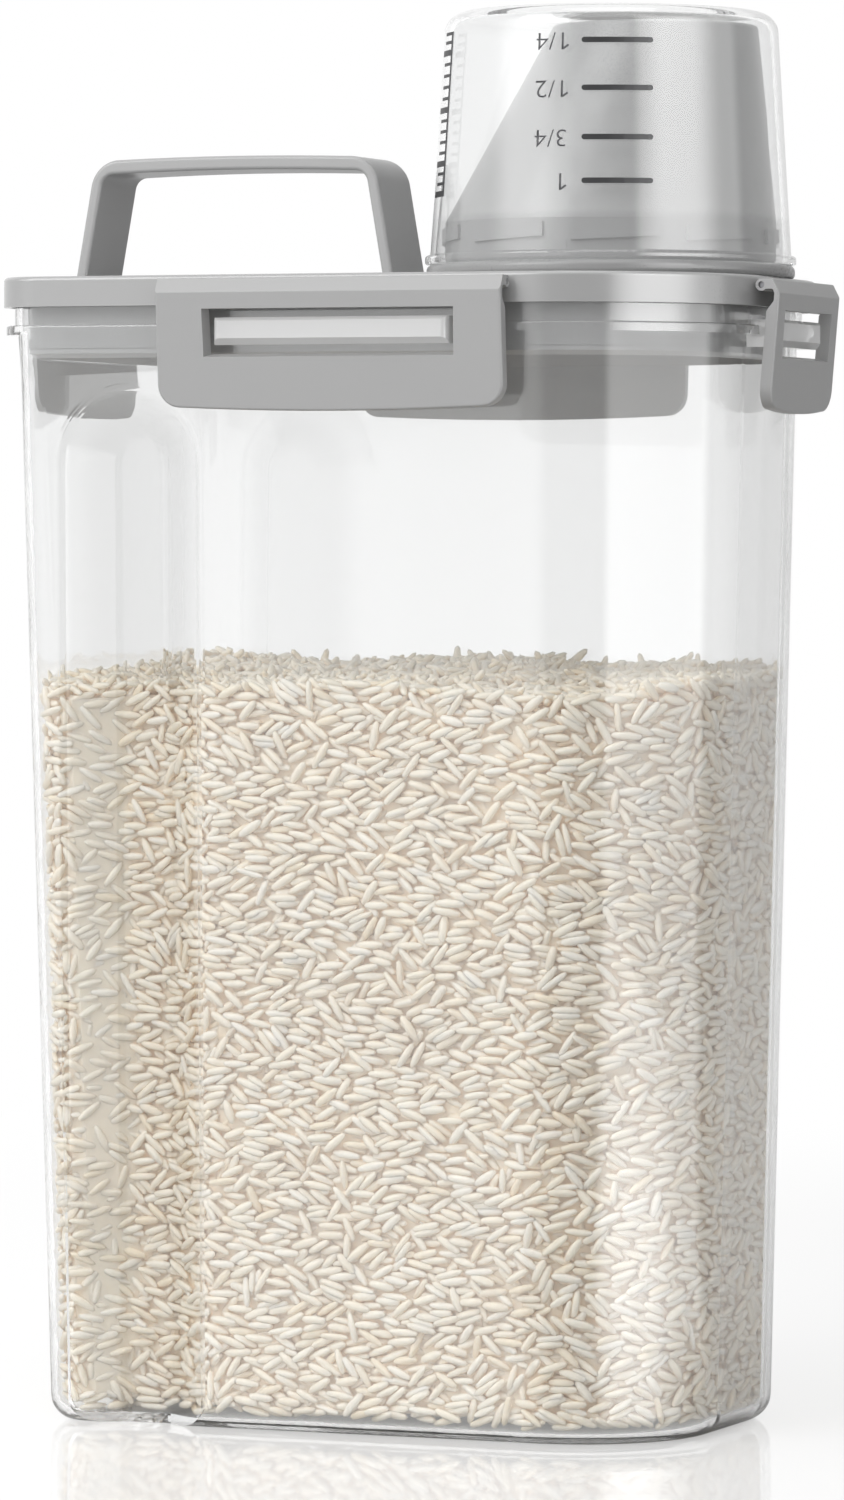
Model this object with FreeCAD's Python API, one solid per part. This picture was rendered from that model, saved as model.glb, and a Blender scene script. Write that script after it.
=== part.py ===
import FreeCAD, Part
import math
import os

# Rice storage container: a clear tub with a latched lid, a strap handle, a pouring spout and
# a measuring cup that covers the spout.
# Millimetres, +Z up. The origin is on the surface that the tub stands on, under the middle of
# the lid. The long side runs along X, with the handle at -X and the spout and cup at +X.

# Tub
tub_length = 158.3
tub_width = 103.6
tub_height = 239.4
tub_draft = 4.9
tub_wall = 1.6
tub_floor = 2.0
mouth_corner_radius = 8.0
base_corner_radius = 11.0
round_end_flat = 27.4
base_edge_radius = 5.5
flange_reach = 3.0
flange_thickness = 2.1
rim_step = 1.1
rim_height = 8.6

# Finger grooves in the tub's front and back
groove_inset = 28.55
groove_width = 32.7
groove_floor_width = 10.5
groove_depth = 8.0
groove_top_drop = 11.9
groove_edge_radius = 4.0
groove_edge_steps = 3

# Lid
lid_overhang = 3.5
lid_round_end_overhang = 4.1
lid_band_height = 6.6
lid_band_wall = 1.6
lid_top_thickness = 1.8
lid_edge_radius = 0.9
lid_seat_gap = 0.2
plug_depth = 17.7
plug_wall = 1.6
plug_gap = 0.6
plug_chamfer = 1.0
panel_depth = 0.5
panel_width = 72.0
panel_margin = 3.0
panel_corner_radius = 8.0

# Gasket round the plug
gasket_height = 2.0
gasket_rise = 2.1
gasket_depth = 0.9
gasket_gap = 0.3

# Flaps: u runs outwards from the lid's side, v upwards from the lid's top
flap_reach = 5.8
flap_top_drop = 0.9
flap_arm_thickness = 2.2
flap_shoulder = 3.1
flap_shoulder_run = 1.6
flap_depth = 29.7
flap_lean = 0.082
flap_neck_wall = 1.2
flap_neck_depth = 5.7
flap_wall = 2.7
flap_wall_depth = 7.9
flap_corner_radius = 5.0
flap_bow = 0.8
flap_edge_radius = 0.5
window_top = 7.6
window_bottom = 18.3
window_bevel = 1.0
front_flap_width = 80.3
left_flap_width = 56.4
right_flap_width = 40.4
front_window_side_margin = 10.8
left_window_side_margin = 9.0
right_window_side_margin = 4.7

# Flap hinges
pin_radius = 0.65
pin_fixed_gap = 0.02
pin_running_gap = 0.06
barrel_wall = 0.6
hinge_gap = 0.3
knuckle_width = 8.0
knuckle_end_margin = 11.0
front_knuckle_count = 3
end_knuckle_count = 2
pin_end_inset = 0.6

# Lugs that the flaps hook on
lug_reach = 4.0
lug_top = 9.5
lug_bottom = 15.4
lug_side_gap = 2.0
lug_chamfer = 1.4
lug_corner_radius = 1.6
lug_root = 0.6

# Handle
handle_inset = 0.35
handle_seal_gap = 7.0
handle_width = 19.6
handle_rise = 28.2
handle_leg_wall = 2.65
handle_bar_wall = 3.1
handle_leg_lean = 10.0
handle_arch = 0.7
handle_outer_radius = 7.0
handle_inner_radius = 3.0
handle_edge_radius = 0.8
handle_tab_inset = 0.6
handle_tab_side_inset = 3.0
handle_tab_gap = 0.05

# Spout
spout_inset = 40.55
spout_radius = 36.4
spout_wall = 1.8
spout_collar_height = 12.2
spout_height = 55.4
spout_mouth_radius = 22.3
spout_mouth_gap = 1.9
spout_spigot_step = 0.8
spout_spigot_wall = 1.0
spout_spigot_depth = 4.3
spout_fit_gap = 0.05
ridge_count = 9
ridge_angle = 30.0
ridge_height = 3.1
ridge_proud = 0.7
ridge_rise = 7.3
ridge_lean = 2.7
ridge_root = 0.5
ridge_gap_bearing = -88.0

# Measuring cup and its seal
seal_height = 3.0
seal_width = 3.8
seal_gap = 0.3
seal_edge_radius = 1.2
cup_rim_reach = 1.1
cup_rim_height = 2.1
cup_rim_edge_radius = 0.7
cup_gap = 1.5
cup_headroom = 1.2
cup_draft = 3.3
cup_wall = 1.8
cup_top_radius = 4.5
bayonet_count = 3
bayonet_angle = 7.6
bayonet_thickness = 1.4
bayonet_axial_gap = 0.35
bayonet_gap = 0.4
bayonet_root = 0.5

# Heights and places that follow from the sizes above
flange_top = tub_height + flange_thickness
rim_top = flange_top + rim_height
lid_underside = rim_top + lid_seat_gap
lid_top = lid_underside + lid_top_thickness
lid_band_bottom = lid_top - lid_band_height
plug_bottom = lid_top - plug_depth
gasket_bottom = plug_bottom + gasket_rise
tub_x = (lid_overhang - lid_round_end_overhang) / 2
lid_half_length = (tub_length + lid_overhang + lid_round_end_overhang) / 2
lid_half_width = tub_width / 2 + lid_overhang
groove_x = tub_x - tub_length / 2 + groove_inset
groove_top = tub_height - groove_top_drop
spout_x = lid_half_length - spout_inset
barrel_radius = pin_radius + pin_running_gap + barrel_wall
hinge_u = barrel_radius + hinge_gap
hinge_v = -(flap_top_drop + barrel_radius)
seal_radius = spout_radius + seal_gap + seal_width
cup_base = lid_top + seal_height
cup_radius = spout_radius + cup_gap + cup_wall
cup_rim_radius = cup_radius + cup_rim_reach
cup_height = spout_height + cup_headroom + cup_wall - seal_height
spout_mouth_shift = cup_radius - cup_wall - cup_draft - spout_mouth_gap - spout_mouth_radius
handle_left = handle_inset - lid_half_length
handle_right = spout_x - seal_radius - handle_seal_gap


def point(x, y, z):
    """A point in space."""
    return FreeCAD.Vector(x, y, z)


def arc(start, middle, end):
    """A circular edge through three points."""
    return Part.Arc(start, middle, end).toShape()


def line(start, end):
    """A straight edge."""
    return Part.makeLine(start, end)


def prism(corners, direction):
    """A straight-sided solid over a polygon."""
    wire = Part.makePolygon(corners + [corners[0]])
    return Part.Face(wire).extrude(direction)


def corner_arc(centre_x, centre_y, radius, start_angle, z):
    """A quarter circle that starts at an angle in degrees and runs anticlockwise."""
    places = []
    for step in (0, 45, 90):
        angle = math.radians(start_angle + step)
        places.append(point(centre_x + radius * math.cos(angle), centre_y + radius * math.sin(angle), z))
    return arc(*places)


def outline(x_min, x_max, half_width, left_radius, right_radius, z):
    """Closed outline with its own corner radius at the left and at the right."""
    arcs = [
        corner_arc(x_max - right_radius, right_radius - half_width, right_radius, -90, z),
        corner_arc(x_max - right_radius, half_width - right_radius, right_radius, 0, z),
        corner_arc(x_min + left_radius, half_width - left_radius, left_radius, 90, z),
        corner_arc(x_min + left_radius, left_radius - half_width, left_radius, 180, z),
    ]
    edges = []
    for index, this_arc in enumerate(arcs):
        next_arc = arcs[(index + 1) % len(arcs)]
        edges.append(this_arc)
        edges.append(line(this_arc.lastVertex(True).Point, next_arc.firstVertex(True).Point))
    return Part.Wire(edges)


def tub_outline(z, grow):
    """Outline of the tub's outer wall at a height, grown or shrunk by a distance."""
    depth_share = max(tub_height - z, 0) / tub_height
    shift = grow - tub_draft * depth_share
    half_length = tub_length / 2 + shift
    half_width = tub_width / 2 + shift
    corner = mouth_corner_radius + (base_corner_radius - mouth_corner_radius) * depth_share + grow
    return outline(tub_x - half_length, tub_x + half_length, half_width, corner,
                   half_width - round_end_flat / 2, z)


def lid_outline(z, inset):
    """Outline of the lid's side at a height, drawn in by a distance."""
    half_length = lid_half_length - inset
    half_width = lid_half_width - inset
    return outline(-half_length, half_length, half_width, mouth_corner_radius + lid_overhang - inset,
                   half_width - round_end_flat / 2, z)


def loft(*wires):
    """A solid with straight sides from each outline to the next."""
    return Part.makeLoft(list(wires), True, True)


def level_edges(shape, z):
    """Edges that lie wholly at one height."""
    found = []
    for edge in shape.Edges:
        box = edge.BoundBox
        if abs(box.ZMin - z) < 0.01 and abs(box.ZMax - z) < 0.01:
            found.append(edge)
    return found


def groove_levels(grow):
    """Depth and half width of the finger groove, from its lip to its floor, pushed out by grow."""
    run = (groove_width - groove_floor_width) / 2
    slope = math.atan2(groove_depth, run)
    setback = groove_edge_radius * math.tan(slope / 2)
    levels = []
    for step in range(groove_edge_steps + 1):
        angle = slope * step / groove_edge_steps
        depth = groove_edge_radius * (1 - math.cos(angle))
        across = groove_width / 2 + setback - groove_edge_radius * math.sin(angle)
        levels.append((depth + grow * math.cos(angle), across + grow * math.sin(angle)))
    for step in range(groove_edge_steps + 1):
        angle = slope * (1 - step / groove_edge_steps)
        depth = groove_depth - groove_edge_radius * (1 - math.cos(angle))
        across = groove_floor_width / 2 - setback + groove_edge_radius * math.sin(angle)
        levels.append((depth + grow * math.cos(angle), across + grow * math.sin(angle)))
    return levels


def groove_wire(depth, half_width):
    """The groove's outline at a depth: straight sides that end in a round arch."""
    arch_centre = groove_top - groove_width / 2
    foot = -groove_width
    top_left = point(-half_width, depth, arch_centre)
    top_right = point(half_width, depth, arch_centre)
    crown = point(0, depth, arch_centre + half_width)
    low_left = point(-half_width, depth, foot)
    low_right = point(half_width, depth, foot)
    return Part.Wire([
        line(low_left, top_left),
        arc(top_left, crown, top_right),
        line(top_right, low_right),
        line(low_right, low_left),
    ])


def groove_tool(grow):
    """The space of the front finger groove, pushed into the tub by grow."""
    levels = groove_levels(grow)
    first, second = levels[0], levels[1]
    widening = (first[1] - second[1]) / (second[0] - first[0])
    lead = 0.5
    wires = [groove_wire(first[0] - lead, first[1] + lead * widening)]
    for depth, half_width in levels[1:]:
        wires.append(groove_wire(depth, half_width))
    tool = loft(*wires)
    tool.rotate(point(0, 0, 0), point(1, 0, 0), math.degrees(math.atan2(tub_draft, tub_height)))
    tool.translate(point(groove_x, tub_draft - tub_width / 2, 0))
    return tool


def both_sides(shape):
    """A shape at the front and its mirror image at the back."""
    return [shape, shape.mirror(point(0, 0, 0), point(0, 1, 0))]


class Side:
    """One latched side of the lid, with the sizes of its flap, window, lug and hinge."""

    def __init__(self, name, turn, distance, flap_width, side_margin, knuckle_count, overhang):
        self.name = name
        self.turn = turn
        self.distance = distance
        self.flap_width = flap_width
        self.window_width = flap_width - 2 * side_margin
        self.lug_width = self.window_width - 2 * lug_side_gap
        outermost = flap_width / 2 - knuckle_end_margin
        pitch = 2 * outermost / (knuckle_count - 1)
        self.knuckle_places = [index * pitch - outermost for index in range(knuckle_count)]
        self.overhang = overhang

    def place(self, shape):
        """Move a shape from this side's own axes (u, w, v) to the container's axes."""
        placed = shape.copy()
        placed.translate(point(self.distance, 0, lid_top))
        placed.rotate(point(0, 0, 0), point(0, 0, 1), self.turn)
        return placed


sides = [
    Side("front", -90, lid_half_width, front_flap_width, front_window_side_margin,
         front_knuckle_count, lid_overhang),
    Side("back", 90, lid_half_width, front_flap_width, front_window_side_margin,
         front_knuckle_count, lid_overhang),
    Side("left", 180, lid_half_length, left_flap_width, left_window_side_margin,
         end_knuckle_count, lid_overhang),
    Side("right", 0, lid_half_length, right_flap_width, right_window_side_margin,
         end_knuckle_count, lid_round_end_overhang),
]


def lug(side):
    """The bar on the tub's rim that one flap hooks under."""
    half = side.lug_width / 2
    root = -side.overhang - lug_root
    profile = [
        point(root, -half, -lug_bottom),
        point(lug_reach - lug_chamfer, -half, -lug_bottom),
        point(lug_reach, -half, -lug_bottom + lug_chamfer),
        point(lug_reach, -half, -lug_top - lug_chamfer / 2),
        point(lug_reach - lug_chamfer / 2, -half, -lug_top),
        point(root, -half, -lug_top),
    ]
    bar = prism(profile, point(0, side.lug_width, 0))
    plan = Part.makeBox(lug_reach - root, side.lug_width, lug_bottom, point(root, -half, -lug_bottom))
    tips = []
    for edge in plan.Edges:
        box = edge.BoundBox
        if box.ZLength > lug_bottom / 2 and box.XMin > lug_reach - lug_chamfer:
            tips.append(edge)
    return side.place(bar.common(plan.makeFillet(lug_corner_radius, tips)))


def make_tub():
    """Clear tub: tapered wall, flange and rim, two finger grooves and four lugs."""
    body = loft(tub_outline(0, 0), tub_outline(tub_height, 0))
    body = body.makeFillet(base_edge_radius, level_edges(body, 0))
    flange = loft(tub_outline(tub_height, flange_reach), tub_outline(flange_top, flange_reach))
    flange = flange.makeFillet(flange_thickness / 4, level_edges(flange, flange_top))
    rim = loft(tub_outline(tub_height, rim_step), tub_outline(rim_top, rim_step))
    outside = body.fuse([flange, rim] + [lug(side) for side in sides])

    inner_step = tub_wall - rim_step
    cavity = loft(tub_outline(tub_floor, -tub_wall), tub_outline(tub_height, -tub_wall))
    cavity = cavity.makeFillet(base_edge_radius - tub_wall, level_edges(cavity, tub_floor))
    neck = loft(tub_outline(tub_height, -tub_wall), tub_outline(tub_height + tub_wall, -tub_wall))
    mouth = loft(tub_outline(tub_height + tub_wall / 2, -inner_step),
                 tub_outline(rim_top + tub_wall, -inner_step))
    hollow = cavity.fuse([neck, mouth]).cut(both_sides(groove_tool(tub_wall)))
    return outside.cut(hollow).cut(both_sides(groove_tool(0)))


def knuckle(side, place):
    """One knuckle on the lid's side, joined to it by a short web."""
    start = place - knuckle_width / 2
    barrel = Part.makeCylinder(barrel_radius, knuckle_width, point(hinge_u, start, hinge_v), point(0, 1, 0))
    web = Part.makeBox(hinge_u + lid_band_wall / 2, knuckle_width, 2 * barrel_radius,
                       point(-lid_band_wall / 2, start, hinge_v - barrel_radius))
    return side.place(barrel.fuse(web))


def pin_rod(radius, length):
    """A round rod along a hinge's axis, in the side's own axes."""
    return Part.makeCylinder(radius, length, point(hinge_u, -length / 2, hinge_v), point(0, 1, 0))


def handle_tab(inward_from, direction, gap):
    """A tab under one leg, or with a gap the slot in the lid that it fills."""
    length = handle_leg_wall - 2 * handle_tab_inset + 2 * gap
    width = handle_width - 2 * handle_tab_side_inset + 2 * gap
    near = inward_from + direction * (handle_tab_inset - gap)
    start = min(near, near + direction * length)
    return Part.makeBox(length, width, lid_top_thickness, point(start, -width / 2, lid_underside))


def handle_tabs(gap):
    """Both tabs, or both slots."""
    return [handle_tab(handle_left, 1, gap), handle_tab(handle_right, -1, gap)]


def make_lid():
    """Lid: top, band over the tub's rim, plug inside its mouth, and the hinge knuckles."""
    top = loft(lid_outline(lid_band_bottom, 0), lid_outline(lid_top, 0))
    top = top.makeFillet(lid_edge_radius, level_edges(top, lid_top))
    channel = loft(lid_outline(lid_band_bottom - 1, lid_band_wall), lid_outline(lid_underside, lid_band_wall))
    top = top.cut(channel)

    plug = loft(plug_outline(plug_bottom, plug_chamfer), plug_outline(plug_bottom + plug_chamfer, 0),
                plug_outline(lid_underside, 0))
    plug = plug.cut(loft(plug_outline(plug_bottom - 1, plug_wall), plug_outline(lid_underside, plug_wall)))

    reach = handle_leg_wall + panel_margin
    panel = loft(*[outline(handle_left + reach, handle_right - reach, panel_width / 2, panel_corner_radius,
                           panel_corner_radius, z) for z in (lid_top - panel_depth, lid_top + 1)])
    spout_hole = spigot_space(-spout_fit_gap, lid_underside - 1, lid_top + 1)
    knuckles = [knuckle(side, place) for side in sides for place in side.knuckle_places]
    bores = [side.place(pin_rod(pin_radius + pin_fixed_gap, side.flap_width)) for side in sides]
    lid = top.fuse([plug] + knuckles)
    return lid.cut([panel, spout_hole, gasket_groove()] + handle_tabs(handle_tab_gap) + bores)


def plug_outline(z, inset):
    """Outline of the upright plug, clear of the tub's wall at its lower edge, drawn in by a distance."""
    step = tub_wall + plug_gap + tub_draft * (tub_height - plug_bottom) / tub_height + inset
    half_length = tub_length / 2 - step
    half_width = tub_width / 2 - step
    return outline(tub_x - half_length, tub_x + half_length, half_width, mouth_corner_radius - step,
                   half_width - round_end_flat / 2, z)


def spigot_space(inset, low, high):
    """A round column under the spout, cut off where it would reach into the plug's wall."""
    column = Part.makeCylinder(spout_radius - spout_spigot_step - inset, high - low, point(spout_x, 0, low))
    edge = plug_wall + spout_fit_gap + inset
    return column.common(loft(plug_outline(low, edge), plug_outline(high, edge)))


def gasket_ring(reach, depth, low, high):
    """A flat ring round the plug, from depth inside its face to reach outside it."""
    outer = loft(plug_outline(low, -reach), plug_outline(high, -reach))
    return outer.cut(loft(plug_outline(low - 1, depth), plug_outline(high + 1, depth)))


def gasket_groove():
    """The groove in the plug that the gasket sits in."""
    return gasket_ring(plug_gap, gasket_depth, gasket_bottom, gasket_bottom + gasket_height)


def make_gasket():
    """Soft ring in the plug's groove, close to the tub's wall."""
    return gasket_ring(plug_gap - gasket_gap, gasket_depth, gasket_bottom, gasket_bottom + gasket_height)


def skirt_u(depth):
    """How far out a flap's outer face stands at a depth below the lid's top."""
    return flap_reach - flap_lean * max(depth - flap_top_drop - flap_shoulder, 0)


def flap_profile(half):
    """The flap's section: hinge arm, shoulder, thin neck and thick leaning skirt."""
    arm_under = flap_top_drop + flap_arm_thickness
    shoulder_end = flap_top_drop + flap_shoulder
    corners = [
        (hinge_u, flap_top_drop),
        (flap_reach - flap_shoulder_run, flap_top_drop),
        (flap_reach, shoulder_end),
        (skirt_u(flap_depth), flap_depth),
        (skirt_u(flap_depth) - flap_wall, flap_depth),
        (skirt_u(flap_wall_depth) - flap_wall, flap_wall_depth),
        (skirt_u(flap_neck_depth) - flap_neck_wall, flap_neck_depth),
        (flap_reach - flap_neck_wall, shoulder_end),
        (flap_reach - flap_shoulder_run, arm_under),
        (hinge_u, arm_under),
    ]
    return [point(u, -half, -v) for u, v in corners]


def flap_face(side):
    """The flap's outline seen from outside, as a thick slab."""
    half = side.flap_width / 2
    r = flap_corner_radius
    bottom = -flap_depth + flap_bow
    slant = r * (1 - math.sqrt(0.5))
    near = -1.0
    wire = Part.Wire([
        line(point(near, -half, 0), point(near, -half, bottom + r)),
        arc(point(near, -half, bottom + r), point(near, slant - half, bottom + slant),
            point(near, r - half, bottom)),
        arc(point(near, r - half, bottom), point(near, 0, -flap_depth), point(near, half - r, bottom)),
        arc(point(near, half - r, bottom), point(near, half - slant, bottom + slant),
            point(near, half, bottom + r)),
        line(point(near, half, bottom + r), point(near, half, 0)),
        line(point(near, half, 0), point(near, -half, 0)),
    ])
    return Part.Face(wire).extrude(point(flap_reach + 2, 0, 0))


def flap_window(side):
    """The window's opening, wider outside than inside at its sides and sill."""
    def rectangle(u, bevel):
        half = side.window_width / 2 - window_bevel + bevel
        low = -window_bottom + window_bevel - bevel
        corners = [point(u, -half, low), point(u, half, low), point(u, half, -window_top),
                   point(u, -half, -window_top)]
        return Part.makePolygon(corners + [corners[0]])
    inner = skirt_u(window_bottom) - flap_wall
    outer = flap_reach
    per_mm = window_bevel / (outer - inner)
    return loft(rectangle(inner - 1, -per_mm), rectangle(outer + 1, window_bevel + per_mm))


def flap_outline_edges(flap, side):
    """The edges round a flap's outer face and along its shoulder, without its window's."""
    near = 0.05
    corner_start = flap_depth - flap_bow - flap_corner_radius
    found = []
    for edge in flap.Edges:
        middle = edge.valueAt((edge.FirstParameter + edge.LastParameter) / 2)
        depth = -middle.z
        if edge.BoundBox.YLength > side.flap_width - near:
            if middle.x > hinge_u + barrel_radius and depth < flap_top_drop + flap_shoulder + near:
                found.append(edge)
                continue
        on_face = abs(middle.x - skirt_u(depth)) < near and depth > flap_top_drop + flap_shoulder
        on_rim = abs(middle.y) > side.flap_width / 2 - near or depth > corner_start
        if on_face and on_rim:
            found.append(edge)
    return found


def make_flap(side):
    """A latch flap with its barrel, window and hinge notches."""
    half = side.flap_width / 2
    plate = prism(flap_profile(half), point(0, side.flap_width, 0)).common(flap_face(side))
    barrel = pin_rod(barrel_radius, side.flap_width)
    notch_width = knuckle_width + 2 * hinge_gap
    reach = hinge_u + barrel_radius + hinge_gap
    spaces = [flap_window(side), pin_rod(pin_radius + pin_running_gap, side.flap_width)]
    for place in side.knuckle_places:
        spaces.append(Part.makeBox(reach, notch_width, 4 * barrel_radius,
                                   point(0, place - notch_width / 2, hinge_v - 2 * barrel_radius)))
    flap = tidy(plate.fuse(barrel).cut(spaces))
    return side.place(flap.makeFillet(flap_edge_radius, flap_outline_edges(flap, side)))


def make_pin(side):
    """The steel pin that one flap turns on."""
    return side.place(pin_rod(pin_radius, side.flap_width - 2 * pin_end_inset))


def handle_loop(inset_leg, inset_bar, radius, foot):
    """A solid under the handle's outer or inner line, with rounded top corners."""
    lean = math.tan(math.radians(handle_leg_lean))
    shoulder = handle_rise - handle_arch - inset_bar
    side_step = inset_leg / math.cos(math.radians(handle_leg_lean))
    half = handle_width / 2
    low_left = point(handle_left + side_step + foot * lean, -half, lid_top + foot)
    low_right = point(handle_right - side_step - foot * lean, -half, lid_top + foot)
    top_left = point(handle_left + side_step + shoulder * lean, -half, lid_top + shoulder)
    top_right = point(handle_right - side_step - shoulder * lean, -half, lid_top + shoulder)
    crown = point((handle_left + handle_right) / 2, -half, lid_top + shoulder + handle_arch)
    wire = Part.Wire([line(low_left, top_left), arc(top_left, crown, top_right),
                      line(top_right, low_right), line(low_right, low_left)])
    block = Part.Face(wire).extrude(point(0, handle_width, 0))
    corners = []
    for edge in block.Edges:
        box = edge.BoundBox
        if box.YLength > half and abs(box.ZMin - lid_top - shoulder) < 0.01:
            corners.append(edge)
    return block.makeFillet(radius, corners)


def make_handle():
    """Strap handle: two leaning legs and an arched bar, with a tab under each leg."""
    strap = handle_loop(0, 0, handle_outer_radius, 0)
    strap = strap.cut(handle_loop(handle_leg_wall, handle_bar_wall, handle_inner_radius, -1))
    long_edges = []
    for edge in strap.Edges:
        box = edge.BoundBox
        if box.YLength < 0.01 and box.ZMax > lid_top + 1:
            long_edges.append(edge)
    strap = strap.makeFillet(handle_edge_radius, long_edges)
    return strap.fuse(handle_tabs(0))


def spout_skin(inset):
    """The spout's collar and slanted funnel, drawn in by a wall."""
    collar = Part.makeCylinder(spout_radius - inset, spout_collar_height, point(spout_x, 0, lid_top))
    wires = []
    for radius, shift, rise in ((spout_radius, 0, spout_collar_height),
                                (spout_mouth_radius, spout_mouth_shift, spout_height)):
        circle = Part.makeCircle(radius - inset, point(spout_x + shift, 0, lid_top + rise))
        wires.append(Part.Wire(circle))
    return collar.fuse(loft(*wires))


def ridge(middle_bearing):
    """One leaning ridge on the collar, centred on a bearing in degrees."""
    outer = spout_radius + ridge_proud
    span = math.radians(ridge_angle) * outer * math.tan(math.radians(ridge_lean))
    low = lid_top + ridge_rise
    room = ridge_height + span + 2
    ring = Part.makeCylinder(outer, room, point(0, 0, low - 1), point(0, 0, 1), ridge_angle)
    ring = ring.cut(Part.makeCylinder(spout_radius - ridge_root, room, point(0, 0, low - 1)))
    ring.rotate(point(0, 0, 0), point(0, 0, 1), -ridge_angle / 2)
    slab = Part.makeBox(2 * outer, 2 * outer, ridge_height, point(0, -outer, low + span / 2))
    slab.rotate(point(outer, 0, low + span / 2), point(1, 0, 0), ridge_lean)
    piece = ring.common(slab)
    piece.rotate(point(0, 0, 0), point(0, 0, 1), middle_bearing)
    piece.translate(point(spout_x, 0, 0))
    return piece


def make_spout():
    """Pouring spout: spigot in the lid, ridged collar and a funnel that leans to its mouth."""
    foot = lid_top - spout_spigot_depth
    spigot = spigot_space(0, foot, lid_top)
    skin = spout_skin(0)
    skin = skin.makeFillet(spout_wall * 0.45, level_edges(skin, lid_top + spout_height))
    pitch = 360 / ridge_count
    ridges = [ridge(ridge_gap_bearing + (index + 0.5) * pitch) for index in range(ridge_count)]
    passage = spigot_space(spout_spigot_wall, foot, lid_top)
    return skin.fuse([spigot] + ridges).cut(passage.fuse(spout_skin(spout_wall)))


def turned(corners):
    """A solid of revolution about the spout's axis from points of radius and height."""
    wire = Part.makePolygon([point(r, 0, z) for r, z in corners + [corners[0]]])
    solid = Part.Face(wire).revolve(point(0, 0, 0), point(0, 0, 1), 360)
    solid.translate(point(spout_x, 0, 0))
    return solid


def make_seal():
    """Soft ring between the lid and the measuring cup."""
    inner = spout_radius + seal_gap
    ring = turned([(inner, lid_top), (seal_radius, lid_top), (seal_radius, cup_base), (inner, cup_base)])
    rims = []
    for z in (lid_top, cup_base):
        for edge in level_edges(ring, z):
            if edge.BoundBox.XLength > seal_radius + inner:
                rims.append(edge)
    return ring.makeFillet(seal_edge_radius, rims)


def bayonet(bearing):
    """One small lug inside the cup that turns in under a ridge."""
    top = lid_top + ridge_rise - bayonet_axial_gap
    low = top - bayonet_thickness
    outer = cup_radius - cup_wall + bayonet_root
    wedge = Part.makeCylinder(outer, bayonet_thickness, point(0, 0, low), point(0, 0, 1), bayonet_angle)
    inner = spout_radius + bayonet_gap
    wedge = wedge.cut(Part.makeCylinder(inner, bayonet_thickness, point(0, 0, low)))
    wedge.rotate(point(0, 0, 0), point(0, 0, 1), bearing - bayonet_angle / 2)
    wedge.translate(point(spout_x, 0, 0))
    return wedge


def make_cup():
    """Clear measuring cup, mouth down over the spout, with a rim bead and bayonet lugs."""
    rim_top_z = cup_base + cup_rim_height
    top = cup_base + cup_height
    shell = turned([(0, cup_base), (cup_radius, cup_base), (cup_radius, rim_top_z),
                    (cup_radius - cup_draft, top), (0, top)])
    shell = shell.makeFillet(cup_top_radius, level_edges(shell, top))
    inner = cup_radius - cup_wall
    hollow = turned([(0, cup_base - 1), (inner, cup_base - 1), (inner, rim_top_z),
                     (inner - cup_draft, top - cup_wall), (0, top - cup_wall)])
    hollow = hollow.makeFillet(cup_top_radius - cup_wall, level_edges(hollow, top - cup_wall))
    bead = turned([(0, cup_base), (cup_rim_radius, cup_base), (cup_rim_radius, rim_top_z), (0, rim_top_z)])
    bead = bead.makeFillet(cup_rim_edge_radius, level_edges(bead, cup_base) + level_edges(bead, rim_top_z))
    pitch = 360 / bayonet_count
    lugs = [bayonet(ridge_gap_bearing + index * pitch) for index in range(bayonet_count)]
    return shell.fuse(bead).cut(hollow).fuse(lugs)


def tidy(shape):
    """Merge faces that booleans have split."""
    return shape.removeSplitter()


def write(name, shape):
    """Check one node's solid and write its file."""
    clean = tidy(shape)
    print(name, "valid" if clean.isValid() else "NOT VALID", "solids", len(clean.Solids),
          "volume %.1f" % clean.Volume)
    clean.exportStep("parts/" + name + ".step")


def main():
    """Build and write every node."""
    os.makedirs("parts", exist_ok=True)
    write("tub", make_tub())
    write("lid", make_lid())
    write("lid_gasket", make_gasket())
    for side in sides:
        write(side.name + "_flap", make_flap(side))
        write(side.name + "_flap_pin", make_pin(side))
    write("handle", make_handle())
    write("pour_spout", make_spout())
    write("cup_seal", make_seal())
    write("measuring_cup", make_cup())


main()
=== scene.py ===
import logging
import math
from collections.abc import Iterator, Sequence
from contextlib import contextmanager
from dataclasses import dataclass, fields
from enum import Enum
from typing import Any

import bpy
import numpy as np
from mathutils import Matrix, Vector
from mathutils.bvhtree import BVHTree


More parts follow.
